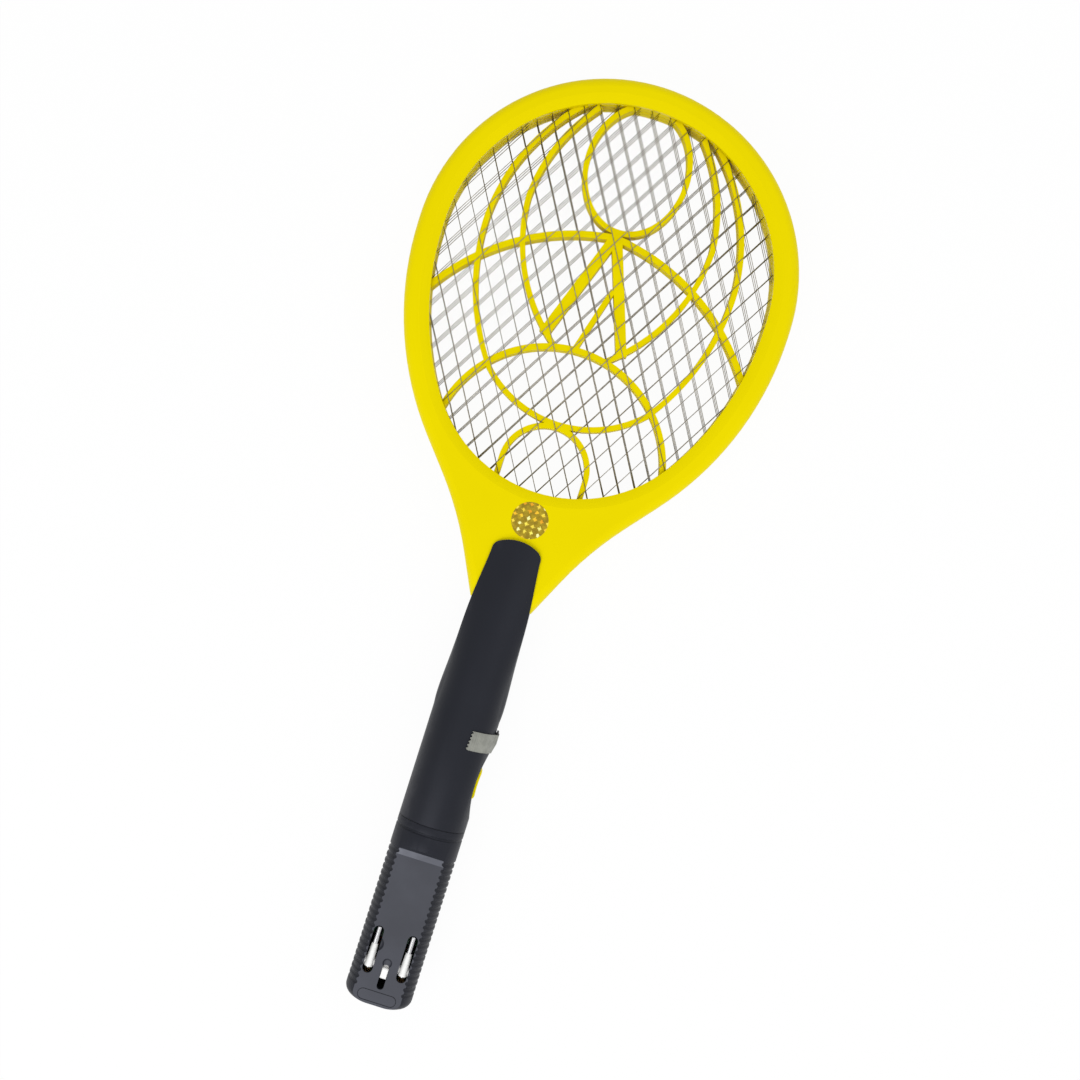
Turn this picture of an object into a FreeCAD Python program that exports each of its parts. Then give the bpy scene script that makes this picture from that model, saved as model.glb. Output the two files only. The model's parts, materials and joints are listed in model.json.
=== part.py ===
import FreeCAD, Part
import math
import os

# Rechargeable electric fly swatter, lying with its plug panel up.
# X across (trigger on +X), Y along the racket towards the head, Z up, millimetres.
# The origin is under the middle of the whole object; MID is the height of the middle plane.

# ---- handle ----
GRIP_R = 18.6            # radius of the round grip
WALL = 2.0               # handle wall
TONGUE_L = 62.0          # from where the neck ends to where the grip is round
TIP_L = 35.7             # from there to the tongue's tip
TIP_W = 13.8             # half width where the tip's corners start
TIP_ROUND = 6.4          # rounded corners of the tip
TIP_CURVE = 22.0         # radius of the tip's curve between them
END_ROUND = 5.0          # rounding of the butt
MID = GRIP_R             # height of the middle plane above the lowest point

# ---- lengths along the racket, from the neck to the butt ----
NECK_END = -34.0         # where the neck meets the handle, seen from the middle of the racket
NECK_L = 63.34           # from there to the head opening
TENON_L = 28.0
BOARD_AHEAD = 4.0        # from the tenon to the circuit board
BOARD_L = 98.0
CELLS_AHEAD = 12.5       # from the circuit board to the cells
CELL_L = 49.0
CHARGE_AHEAD = 3.5       # from the cells to the charging board
CHARGE_L = 19.5
BUTT_ROOM = 10.0         # from the charging board to the butt

# ---- head outline ----
HEAD_R = 104.7           # top half of the rim
FLANK_OFF = 65.3         # centres of the flank arcs lie this far past the axis
FLANK_DROP = 3.8         # straight bit between the top half and the flanks
FLANK_ANGLE = 39.7       # degrees at which the flank arc ends
FLANK_STRAIGHT = 22.0
NECK_R = 185.0           # hollow curve of the neck
NECK_ANGLE = 25.9        # degrees at which the neck curve ends
RIM_W = 14.0             # width of the rim
LOW_REACH = 78.0         # from the centre of a flank arc to that of the opening's lower arc
FRAME_HALF_T = 10.0      # half thickness of the head
FRAME_EDGE_R = 5.0       # rounding of the outer edge
FRAME_WALL = 2.2
BAND_W = 5.4             # sloped band round the opening
BAND_DROP = 1.2
LIP_W = 2.0              # wall that presses on the grids

# ---- grids and webs ----
MESH_T = 0.4
MESH_WIRE = 0.5
MESH_PITCH = 8.8         # distance between parallel wires
MESH_ANGLE = 30.0        # wires lean this far from the racket's axis
MESH_TUCK = 5.0          # grid reaches this far under the rim
MESH_EDGE = 1.2          # solid border of a grid
WEB_RING_W = 6.0
WEB_T = 4.9              # thickness of one web
STRAND_W = 3.4           # arches that cross the whole opening
SLIM_W = 3.0             # other strands
LEG_W = 5.8              # two leaning legs in the middle
STACK_GAP = 0.05         # clearance between stacked pieces
HV_TAB = (6.0, 5.5)      # solder tab of the middle grid, width and reach

# ---- tenon that holds the head in the handle ----
TENON_W = 25.0
TENON_T = 16.0
TENON_BORE_W = 20.0
TENON_BORE_T = 12.0

# ---- plug panel ----
PANEL_H = 13.0           # panel above the middle plane
PANEL_L = 81.4           # flat from the butt
RAMP_L = 3.5
RAMP_RISE = 0.95
CREST_L = 2.4            # steep end of the ramp
RIB_AHEAD = 1.4          # first ring groove ahead of the flat
RIB_PITCH = 3.5
RIB_LAND = 1.2
RIB_DEPTH = 0.7
RING_AHEAD = 13.2        # wide ring ahead of the ring grooves
RING_W = 1.6
RING_DEPTH = 0.5
FINE_RING_AHEAD = 4.8
FINE_RING_W = 0.5
FINE_RING_DEPTH = 0.25
PLATE_UP = 4.5           # middle of the round-ended plate from the butt
PLATE_HALF_W = 10.6
PLATE_HALF_H = 2.9
PLATE_LINE = 0.4         # groove round the plate
PLATE_DEPTH = 0.25

# ---- fold-out plug ----
PIN_R = 2.0
PIN_GAP = 19.0           # between the pins' axes
PIN_REACH = 20.1         # from the axle to the tips
PIN_BARE = 9.6
PIN_TIP_ROUND = 0.8
PIN_CORE_R = 1.1
AXLE_UP = 11.0           # axle from the charging board's rear edge
AXLE_DEPTH = 4.8         # axle below the panel
PIN_ABOVE_AXLE = 1.5
BAR_R = 2.6
BAR_HALF = 12.3
STUB_R = 1.3
STUB_RUN = 0.05          # running clearance of the stub axles
STUB_L = 1.9
SLEEVE_R0 = 1.8
SLEEVE_R1 = 2.55
SLEEVE_ROUND = 0.9
SLOT_W = 5.6
SLOT_FRONT = 0.6         # slot beyond the pin tip
SLOT_BACK = 5.4          # slot behind the axle
LUG_W = 3.4
LUG_BACK = 6.5           # lug behind the axle
LUG_SUNK = 0.6
LUG_SLOT_W = 3.9
LUG_SLOT = (12.0, 1.6)   # its slot behind and ahead of the axle
CONTACT_NUB = 0.5        # pin's back end behind the bar
CONTACT_GAP = 0.2
LUG_ROUND = 1.4
PIN_DISH_AT = (8.85, 11.15)         # X, and Y ahead of the axle
PIN_DISH_R = 4.15
PIN_DISH_DEPTH = 1.0
LUG_DISH_AHEAD = 2.6
LUG_DISH_R = 2.6
LUG_DISH_DEPTH = 0.6
LEAF_W = 3.0
LEAF_T = 0.3
LEAF_BACK = 8.5          # contact leaf behind the axle
LEAF_L = 10.0
POST_IN = 0.3            # gap between bar and bearing post
POST_HALF = 3.0

# ---- trigger and its switch ----
TRIGGER_BACK = 64.75     # middle of the trigger behind the circuit board's front edge
RECESS_BACK = 0.75       # middle of the finger recess behind that of the trigger
RECESS_HALF = 19.0
RECESS_DEPTH = 2.5
TRIGGER_L = 18.5
TRIGGER_H = 9.0
TRIGGER_PROUD = 1.3
TRIGGER_FLANGE = 1.5
TRIGGER_FLANGE_LIP = 1.8
TRIGGER_GAP = 0.3
TRIGGER_TRAVEL = 1.5
TRIGGER_ROUND = 1.0
TRIGGER_END = 3.0        # rounding of its two ends
PUSH_BODY = (7.0, 10.6, 7.0)
PUSH_BODY_GAP = 3.3      # plunger length between body and flange
PLUNGER_W = 3.0
PLUNGER_DEEP = 3.0
PLUNGER_RUN = 0.08
BOARD_RUN = 0.4          # pressed trigger clear of the circuit board

# ---- slide switch ----
KNOB_AHEAD = 26.15       # knob ahead of the trigger
KNOB_L = 8.7
KNOB_H = 6.0
KNOB_T = 1.2
KNOB_OFF = 0.2           # knob clear of the grip
KNOB_TRAVEL = 4.0
STEM_L = 4.0
STEM_H = 2.4
STEM_RUN = 0.3
SLIDE_BODY_X = (6.0, 11.4)
SLIDE_BODY_L = 15.0
SLIDE_BODY_H = 6.0
STEM_DEEP = 2.0

# ---- tape ----
TAPE_W = 10.5
TAPE_AHEAD = 2.65        # tape ahead of the middle of the knob
TAPE_T = 0.3
TAPE_START = 16.1        # degrees from the top of the grip
TAPE_GAP = 0.05
TAPE_OVER = 0.4          # room between the tape's bump and the knob
TAPE_SLOPE = 2.2         # width of the slope beside the bump

# ---- boards and what is on them ----
BOARD_T = 1.6
BOARD_TOP = -3.0         # below the middle plane
BOARD_HALF_W = 11.5
CHARGE_TOP = -4.4
CHARGE_HALF_W = 12.0
RIB_T = 1.6
RIB_HALF_W = 9.0         # ribs under the boards
CLAMP_HALF_W = 8.0       # ribs over and under the tenon
CRADLE_HALF_W = 13.0     # ribs under the cells
CORE = (12.0, 16.0, 11.0)           # transformer: X, Y and Z sizes
CORE_AT = (-3.0, 21.0)              # its middle: X, and Y behind the board's front edge
CORE_LEG = 3.0
HV_CAP = (18.0, 10.5, 11.0)
HV_CAP_BACK = 6.75                  # its middle behind the board's front edge
MULTIPLIER = (4.5, 9.0, 8.0)
MULTIPLIER_OFF = (8.75, 11.0)       # from the middle screw in X and Y
HV_DIODE = (6.0, 1.3)               # length and radius of the body
HV_DIODE_AHEAD = 10.3               # first one ahead of the middle screw
HV_DIODE_PITCH = 3.8
BLEEDER = (6.5, 1.2)
BLEEDER_AT = (-3.5, 7.25, 4.0)      # X, first one behind the trigger, pitch
TRANSISTOR = (8.0, 2.8, 10.0)
TRANSISTOR_AT = (4.0, 12.0)         # X, and Y ahead of the board's rear edge
TRANSISTOR_LEG = (0.8, 2.5, 3.0)    # width, pitch, length
SMOOTHING = (3.2, 11.0)
SMOOTHING_X = -5.5
RECTIFIER = (4.0, 1.1)
RECTIFIER_AT = (4.0, 2.9, 3.6)      # X, first one ahead of the charging board's rear edge, pitch
DROPPER = (12.0, 5.2, 4.6)
DROPPER_BACK = 6.0                  # its middle behind the charging board's front edge
CELL_R = 7.1
CELL_LOW = 5.5           # cells' axes below the middle plane
CELL_GAP = 0.1
TAB_T = 0.2
TAB_H = 5.0
LEAD_R = 0.6
LEAD_BALL = 0.08         # ball corners stand this much proud of the wire

# ---- screws ----
BOSS_R = 3.2
TENON_SCREW_AHEAD = 12.0 # first handle screw ahead of the tenon's end
MID_SCREW_AHEAD = 14.25  # second one ahead of the trigger
REAR_SCREW_BACK = 6.0    # third one behind the circuit board
BUTT_SCREW_UP = 5.5      # last one from the butt
HANDLE_SCREW_R = 1.25
HANDLE_HEAD_R = 2.6
HANDLE_HEAD_T = 1.8
HANDLE_SINK = 5.0        # screw heads below the grip's surface
HANDLE_SCREW_UP = 8.0
SCREW_CLEAR = 0.05
RIM_BOSS_R = 2.4
RIM_SCREW_R = 1.0
RIM_HEAD_R = 1.9
RIM_HEAD_T = 1.7
RIM_HEAD_SINK = 0.7
RIM_SCREW_UP = 5.5
RIM_SCREW_OFF = 9.2      # screws' distance from the opening
RIM_TOP_ANGLES = (18, 54, 90, 126, 162)
RIM_FLANK_ANGLES = (9, 24)
RIM_LOW_ANGLE = 50
NECK_SCREW_X = 26.0
NECK_SCREW_DROP = 17.34  # below the opening
CROSS_W = 0.5            # slots of the cross recess in the screw heads

# ---- sticker ----
STICKER_R = 10.0
STICKER_T = 0.15
STICKER_X = 1.5
STICKER_DROP = 15.44     # its middle below the opening

V = FreeCAD.Vector
RAD = math.pi / 180.0

# worked out from the values above
HEAD_SIDE_R = HEAD_R + FLANK_OFF
HOLE_SIDE_R = HEAD_SIDE_R - RIM_W
HOLE_TOP_R = HEAD_R - RIM_W
HOLE_BOTTOM_R = HOLE_SIDE_R - LOW_REACH
HOLE_BOTTOM = NECK_END + NECK_L
LOW_CY = HOLE_BOTTOM + HOLE_BOTTOM_R
FLANK_CX = -FLANK_OFF
FLANK_CY = LOW_CY + math.sqrt(LOW_REACH ** 2 - FLANK_OFF ** 2)
LOW_ANGLE = math.degrees(math.atan2(FLANK_CY - LOW_CY, FLANK_OFF))
HEAD_CY = FLANK_CY + FLANK_DROP
HEAD_TOP = HEAD_CY + HEAD_R
HOLE_L = HEAD_TOP - RIM_W - HOLE_BOTTOM
MESH_MID_Z = STACK_GAP + MESH_T / 2
WEB_TOP = MESH_MID_Z + WEB_T
OUTER_MESH_Z = WEB_TOP + STACK_GAP
LIP_Z = OUTER_MESH_Z + MESH_T + STACK_GAP
GRIP_FRONT = NECK_END - TONGUE_L
TENON_END = NECK_END - TENON_L
BOARD_FRONT = TENON_END - BOARD_AHEAD
BOARD_BACK = BOARD_FRONT - BOARD_L
CELL_FRONT = BOARD_BACK - CELLS_AHEAD
CELL_BACK = CELL_FRONT - CELL_L
CHARGE_FRONT = CELL_BACK - CHARGE_AHEAD
CHARGE_BACK = CHARGE_FRONT - CHARGE_L
HANDLE_END = CHARGE_BACK - BUTT_ROOM
PANEL_Y = HANDLE_END + PANEL_L
RAMP_Y = PANEL_Y + RAMP_L
CREST_Y = RAMP_Y + CREST_L
RIB_FIRST_Y = PANEL_Y + RIB_AHEAD
RIB_COUNT = int((RIB_FIRST_Y - HANDLE_END - END_ROUND) / RIB_PITCH + 0.5)
RING_Y = RIB_FIRST_Y + RING_AHEAD
FINE_RING_Y = RING_Y + FINE_RING_AHEAD
PLATE_Y = HANDLE_END + PLATE_UP
AXLE_Y = CHARGE_BACK + AXLE_UP
AXLE_Z = PANEL_H - AXLE_DEPTH
PIN_Z = AXLE_Z + PIN_ABOVE_AXLE
PIN_TIP_Y = AXLE_Y + PIN_REACH
SLEEVE_END_Y = PIN_TIP_Y - PIN_BARE
TRIGGER_Y = BOARD_FRONT - TRIGGER_BACK
RECESS_Y = TRIGGER_Y - RECESS_BACK
RECESS_R = (RECESS_HALF ** 2 + RECESS_DEPTH ** 2) / (2 * RECESS_DEPTH)
RECESS_X = GRIP_R - RECESS_DEPTH
FLANGE_X = RECESS_X - WALL - TRIGGER_GAP
PUSH_X = FLANGE_X - TRIGGER_FLANGE - PUSH_BODY_GAP
KNOB_X = GRIP_R + KNOB_OFF
KNOB_Y = TRIGGER_Y + KNOB_AHEAD
TAPE_FRONT = KNOB_Y + TAPE_AHEAD
MID_SCREW_Y = TRIGGER_Y + MID_SCREW_AHEAD
HANDLE_SCREW_Y = (TENON_END + TENON_SCREW_AHEAD, MID_SCREW_Y, BOARD_BACK - REAR_SCREW_BACK,
                  HANDLE_END + BUTT_SCREW_UP)

# stations of the handle from grip to tongue tip:
# y, half width, half height, shoulder height
TONGUE = (
    (GRIP_FRONT, GRIP_R, GRIP_R, 6.0),
    (NECK_END - 38.0, 18.2, 18.2, 6.8),
    (NECK_END - 16.0, 17.3, 17.3, 8.6),
    (NECK_END + 2.0, 16.4, 15.9, 10.2),
    (NECK_END + 20.0, 14.5, 13.9, 10.9),
    (NECK_END + TIP_L, 13.8, 11.9, 11.1),
)


# ---------------------------------------------------------------- helpers
def box(x0, x1, y0, y1, z0, z1):
    return Part.makeBox(x1 - x0, y1 - y0, z1 - z0, V(x0, y0, z0))


def cyl_x(y, z, x0, x1, r):
    return Part.makeCylinder(r, x1 - x0, V(x0, y, z), V(1, 0, 0))


def cyl_y(x, z, y0, y1, r):
    return Part.makeCylinder(r, y1 - y0, V(x, y0, z), V(0, 1, 0))


def cyl_z(x, y, z0, z1, r):
    return Part.makeCylinder(r, z1 - z0, V(x, y, z0), V(0, 0, 1))


def line(p, q):
    return Part.LineSegment(p, q).toShape()


def arc(p, m, q):
    return Part.Arc(p, m, q).toShape()


def polar(cx, cy, r, degrees):
    return V(cx + r * math.cos(degrees * RAD), cy + r * math.sin(degrees * RAD), 0)


def polygon(points):
    return Part.Face(Part.makePolygon(list(points) + [points[0]]))


def prism(face, z0, z1):
    shape = face.copy()
    shape.translate(V(0, 0, z0))
    return shape.extrude(V(0, 0, z1 - z0))


def mirror_x(shape):
    return shape.mirror(V(0, 0, 0), V(1, 0, 0))


def mirror_z(shape):
    return shape.mirror(V(0, 0, 0), V(0, 0, 1))


def closed(right_edges, bottom):
    """Wire from the right half of an outline that starts on the axis; its left half is mirrored."""
    left = [mirror_x(e) for e in right_edges]
    edges = right_edges + left
    if bottom:
        a = right_edges[-1].Vertexes[-1].Point
        edges.append(line(V(a.x, a.y, 0), V(-a.x, a.y, 0)))
    return Part.Wire(Part.__sortEdges__(edges))


def save(name, shapes):
    """Write one node; its solids are lifted from the middle plane to the object's frame."""
    solids = []
    for shape in shapes:
        lifted = shape.copy()
        lifted.translate(V(0, 0, MID))
        solids.extend(lifted.Solids)
    out = solids[0] if len(solids) == 1 else Part.makeCompound(solids)
    out.exportStep("parts/" + name + ".step")
    bad = [s for s in solids if not s.isValid()]
    print("%-24s %2d solids %9.1f mm3 %s" % (name, len(solids), out.Volume, "INVALID" if bad else ""))
    return out


# ---------------------------------------------------------------- head outlines
def head_outline(inset, y_end):
    """Face of the racket head and neck, inset all round, cut off square at y_end."""
    r = HEAD_R - inset
    top = V(0, HEAD_CY + r, 0)
    side = V(r, HEAD_CY, 0)
    first = arc(top, polar(0, HEAD_CY, r, 45), side)
    drop = line(side, V(r, FLANK_CY, 0))
    rs = HEAD_SIDE_R - inset
    p1 = polar(FLANK_CX, FLANK_CY, rs, -FLANK_ANGLE)
    flank = arc(V(r, FLANK_CY, 0), polar(FLANK_CX, FLANK_CY, rs, -FLANK_ANGLE / 2), p1)
    along = V(-math.sin(FLANK_ANGLE * RAD), -math.cos(FLANK_ANGLE * RAD), 0)
    p2 = p1 + along * FLANK_STRAIGHT
    out = V(math.cos(FLANK_ANGLE * RAD), -math.sin(FLANK_ANGLE * RAD), 0)
    centre = p2 + out * (NECK_R + inset)
    rn = NECK_R + inset
    mid_angle = 180 - (FLANK_ANGLE + NECK_ANGLE) / 2
    p3 = polar(centre.x, centre.y, rn, 180 - NECK_ANGLE)
    neck = arc(p2, polar(centre.x, centre.y, rn, mid_angle), p3)
    p4 = V(p3.x - (p3.y - y_end) * math.tan(NECK_ANGLE * RAD), y_end, 0)
    return Part.Face(closed([first, drop, flank, line(p1, p2), neck, line(p3, p4)], True))


def hole_wire(outset):
    """Wire of the head opening, grown all round by outset."""
    r = HOLE_TOP_R + outset
    rs = HOLE_SIDE_R + outset
    rb = HOLE_BOTTOM_R + outset
    join = polar(FLANK_CX, FLANK_CY, rs, -LOW_ANGLE)
    edges = [
        arc(V(0, HEAD_CY + r, 0), polar(0, HEAD_CY, r, 45), V(r, HEAD_CY, 0)),
        line(V(r, HEAD_CY, 0), V(r, FLANK_CY, 0)),
        arc(V(r, FLANK_CY, 0), polar(FLANK_CX, FLANK_CY, rs, -LOW_ANGLE / 2), join),
        arc(join, polar(0, LOW_CY, rb, -(90 + LOW_ANGLE) / 2), V(0, LOW_CY - rb, 0)),
    ]
    return closed(edges, False)


def hole(outset):
    return Part.Face(hole_wire(outset))


def rim_screw_points():
    points = [polar(0, HEAD_CY, HOLE_TOP_R + RIM_SCREW_OFF, a) for a in RIM_TOP_ANGLES]
    for a in RIM_FLANK_ANGLES:
        p = polar(FLANK_CX, FLANK_CY, HOLE_SIDE_R + RIM_SCREW_OFF, -a)
        points += [p, V(-p.x, p.y, 0)]
    p = polar(0, LOW_CY, HOLE_BOTTOM_R + RIM_SCREW_OFF, -RIM_LOW_ANGLE)
    points += [p, V(-p.x, p.y, 0)]
    y = HOLE_BOTTOM - NECK_SCREW_DROP
    points += [V(NECK_SCREW_X, y, 0), V(-NECK_SCREW_X, y, 0)]
    return points


def cross_recess(x, y, z, half, width, depth):
    """Cutter for the cross in a screw head whose end face is at z and looks down."""
    w = width / 2
    low = z - 0.001
    return box(x - half, x + half, y - w, y + w, low, z + depth).fuse(
        box(x - w, x + w, y - half, y + half, low, z + depth))


# ---------------------------------------------------------------- head
def frame_half_solid():
    """Outer form of one half of the head, on the upper side of the middle plane."""
    blank = prism(head_outline(0, NECK_END), 0, FRAME_HALF_T)
    rounded = []
    for e in blank.Edges:
        at_top = all(abs(p.Point.z - FRAME_HALF_T) < 1e-6 for p in e.Vertexes)
        at_end = all(abs(p.Point.y - NECK_END) < 1e-6 for p in e.Vertexes)
        if at_top and not at_end:
            rounded.append(e)
    return blank.makeFillet(FRAME_EDGE_R, rounded)


def band_cut():
    low = hole_wire(0)
    low.translate(V(0, 0, FRAME_HALF_T - BAND_DROP))
    high = hole_wire(BAND_W)
    high.translate(V(0, 0, FRAME_HALF_T))
    return Part.makeLoft([low, high], True, True)


def frame_shell(form):
    """Hollow half of the head with its lip over the grids, tenon half and screw bosses."""
    shell = form.cut(prism(hole(0), -1, FRAME_HALF_T + 1)).cut(band_cut())
    inside_top = FRAME_HALF_T - FRAME_WALL - 0.3
    cavity = head_outline(FRAME_WALL, NECK_END + FRAME_WALL).cut(hole(LIP_W))
    shell = shell.cut(prism(cavity, -1, inside_top))
    shell = shell.cut(prism(hole(WEB_RING_W + 3 * STACK_GAP), -1, LIP_Z))
    tenon = box(-TENON_W / 2, TENON_W / 2, TENON_END, NECK_END + FRAME_WALL, 0, TENON_T / 2)
    shell = shell.fuse(tenon)
    bore_w = TENON_BORE_W / 2
    shell = shell.cut(box(-bore_w, bore_w, TENON_END - 1, NECK_END + FRAME_WALL + 1, -1, TENON_BORE_T / 2))
    bosses = [cyl_z(p.x, p.y, 0, inside_top + 0.1, RIM_BOSS_R) for p in rim_screw_points()]
    shell = shell.multiFuse(bosses)
    return shell.cut(cyl_z(0, HANDLE_SCREW_Y[0], -1, TENON_T, BOSS_R + SCREW_CLEAR))


def build_head():
    form = frame_half_solid()
    shell = frame_shell(form)
    head_z = -FRAME_HALF_T + RIM_HEAD_SINK
    front_holes = []
    rear_holes = []
    screws = []
    for p in rim_screw_points():
        clear = RIM_SCREW_R + SCREW_CLEAR
        front_holes.append(cyl_z(p.x, p.y, -1, RIM_SCREW_UP + 0.5, clear))
        rear_holes.append(cyl_z(p.x, p.y, -FRAME_HALF_T, 1, clear))
        seat = head_z + RIM_HEAD_T
        rear_holes.append(cyl_z(p.x, p.y, -FRAME_HALF_T - 1, seat + SCREW_CLEAR, RIM_HEAD_R + SCREW_CLEAR))
        head = cyl_z(p.x, p.y, head_z, seat, RIM_HEAD_R)
        cross = cross_recess(p.x, p.y, head_z, RIM_HEAD_R * 0.63, CROSS_W, RIM_HEAD_T / 2)
        shank = cyl_z(p.x, p.y, seat - 0.1, RIM_SCREW_UP, RIM_SCREW_R)
        screws.append(head.cut(cross).fuse(shank))
    save("head_front_frame", [shell.cut(Part.makeCompound(front_holes))])
    save("head_rear_frame", [mirror_z(shell).cut(Part.makeCompound(rear_holes))])
    save("head_screws", screws)
    y = HOLE_BOTTOM - STICKER_DROP
    save("hologram_sticker", [cyl_z(STICKER_X, y, FRAME_HALF_T, FRAME_HALF_T + STICKER_T, STICKER_R)])
    return form


# ---------------------------------------------------------------- web and grids
def spot(point):
    """Place in the opening, from shares of its half width and of its length above its lowest point."""
    u, v = point
    return V(u * HOLE_TOP_R, HOLE_BOTTOM + v * HOLE_L, 0)


def ribbon(p, m, q, width):
    """Flat strand along the arc through three places in the opening."""
    curve = arc(spot(p), spot(m), spot(q)).Curve
    c = curve.Center
    ends = []
    for point in (p, m, q):
        d = spot(point) - c
        d.normalize()
        ends.append([c + d * (curve.Radius + s * width / 2) for s in (-1, 1)])
    inner = arc(ends[0][0], ends[1][0], ends[2][0])
    outer = arc(ends[0][1], ends[1][1], ends[2][1])
    caps = [line(ends[0][0], ends[0][1]), line(ends[2][0], ends[2][1])]
    return Part.Face(Part.Wire(Part.__sortEdges__([inner, caps[1], outer, caps[0]])))


def bar(p, q, width):
    """Flat straight strand between two places in the opening."""
    a = spot(p)
    b = spot(q)
    side = (b - a).cross(V(0, 0, 1))
    side.normalize()
    side = side * (width / 2)
    return polygon([a - side, b - side, b + side, a + side])


def both_sides(shapes):
    return shapes + [mirror_x(s) for s in shapes]


def oval_ring(centre, half_w, half_h, width):
    """Flat ring round a place in the opening."""
    at = spot(centre)

    def face(w, h):
        major, minor = max(w, h), min(w, h)
        oval = Part.Ellipse(V(0, 0, 0), major, minor).toShape()
        if h > w:
            oval.rotate(V(0, 0, 0), V(0, 0, 1), 90)
        oval.translate(at)
        return Part.Face(Part.Wire(oval))

    return face(half_w + width / 2, half_h + width / 2).cut(face(half_w - width / 2, half_h - width / 2))


def web_solid(z0):
    """One spacer web: ring under the rim and the strands between, from z0 up."""
    ring = hole(WEB_RING_W).cut(hole(0))
    arch = 0.2602            # half width of the low arch
    strands = both_sides([
        ribbon((-0.976, 0.4167), (-0.4906, 0.6063), (0, 0.67), STRAND_W),
        ribbon((-0.3638, 0.9861), (-0.634, 0.842), (-0.7729, 0.6291), SLIM_W),
        ribbon((-0.7729, 0.6291), (-0.7056, 0.4376), (-0.4972, 0.268), SLIM_W),
        ribbon((-0.3197, 0.9744), (-0.5072, 0.8397), (-0.5722, 0.71), SLIM_W),
        ribbon((-0.5722, 0.71), (-0.4576, 0.519), (-0.1709, 0.3702), SLIM_W),
        bar((-arch, 0), (-arch, 0.0621), SLIM_W),
        bar((0, 0.677), (-0.2426, 0.3888), LEG_W),
    ])
    strands += [
        ribbon((-0.7001, 0.1053), (0, 0.3712), (0.7001, 0.1053), STRAND_W),
        ribbon((-0.4972, 0.268), (0, 0.1792), (0.4972, 0.268), SLIM_W),
        ribbon((-arch, 0.0621), (0, 0.1718), (arch, 0.0621), SLIM_W),
        bar((0.0772, 0.5422), (-0.0375, 0.3726), SLIM_W),
        oval_ring((0, 0.849), 0.3054 * HOLE_TOP_R, 0.1641 * HOLE_L, SLIM_W),
    ]
    z1 = z0 + WEB_T
    inside = prism(hole(WEB_RING_W), z0, z1)
    solids = [prism(s, z0, z1).common(inside) for s in strands]
    return prism(ring, z0, z1).multiFuse(solids).removeSplitter()


def mesh_face(grow):
    """Plan of one grid: diamond openings between wires that lean both ways."""
    step_x = MESH_PITCH / math.cos(MESH_ANGLE * RAD)
    step_y = MESH_PITCH / math.sin(MESH_ANGLE * RAD)
    half_x = (MESH_PITCH - MESH_WIRE) / math.cos(MESH_ANGLE * RAD) / 2
    half_y = (MESH_PITCH - MESH_WIRE) / math.sin(MESH_ANGLE * RAD) / 2
    plate = hole(grow)
    field = hole(grow - MESH_EDGE)
    reach_x = int(HEAD_R / step_x * 2) + 2
    reach_y = int((HEAD_TOP - HOLE_BOTTOM) / step_y) + 2
    cy = (HEAD_TOP + HOLE_BOTTOM) / 2
    openings = []
    crossing = []
    for i in range(-reach_x, reach_x + 1):
        for j in range(-reach_y, reach_y + 1):
            x, y = i * step_x / 2, cy + j * step_y / 2
            near = abs(x) < HEAD_R and HOLE_BOTTOM - step_y < y < HEAD_TOP + step_y
            if not near or (i + j) % 2:
                continue
            corners = [V(x - half_x, y, 0), V(x, y - half_y, 0), V(x + half_x, y, 0), V(x, y + half_y, 0)]
            whole = all(field.isInside(c, 1e-4, True) for c in corners)
            (openings if whole else crossing).append(polygon(corners))
    cut_off = Part.makeCompound(crossing).common(field)
    openings += [f for f in cut_off.Faces if f.Area > MESH_WIRE]
    return Part.makeFace([plate.OuterWire] + [f.OuterWire for f in openings], "Part::FaceMakerBullseye")


def build_grids():
    front = web_solid(MESH_MID_Z)
    save("front_web", [front])
    save("rear_web", [mirror_z(front)])
    grid = mesh_face(MESH_TUCK)
    outer = prism(grid, OUTER_MESH_Z, OUTER_MESH_Z + MESH_T)
    save("front_mesh", [outer])
    save("rear_mesh", [mirror_z(outer)])
    tab_w, tab_reach = HV_TAB
    edge = HOLE_BOTTOM - MESH_TUCK
    tab = box(-tab_w / 2, tab_w / 2, edge - tab_reach, edge + 0.6, -MESH_T / 2, MESH_T / 2)
    save("hv_mesh", [prism(grid, -MESH_T / 2, MESH_T / 2).fuse(tab)])


# ---------------------------------------------------------------- handle
def section(y, half_w, half_h, shoulder):
    """Closed cross-section of the handle at y, made of four arcs."""
    side = half_w * math.sqrt(max(0.0, 1 - (shoulder / half_h) ** 2)) if shoulder < 7 else half_w - 0.3
    side = max(side, half_w - 1.4)
    a = V(side, y, shoulder)
    b = V(-side, y, shoulder)
    c = V(-side, y, -shoulder)
    d = V(side, y, -shoulder)
    return Part.Wire([
        arc(a, V(0, y, half_h), b),
        arc(b, V(-half_w, y, 0), c),
        arc(c, V(0, y, -half_h), d),
        arc(d, V(half_w, y, 0), a),
    ])


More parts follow.
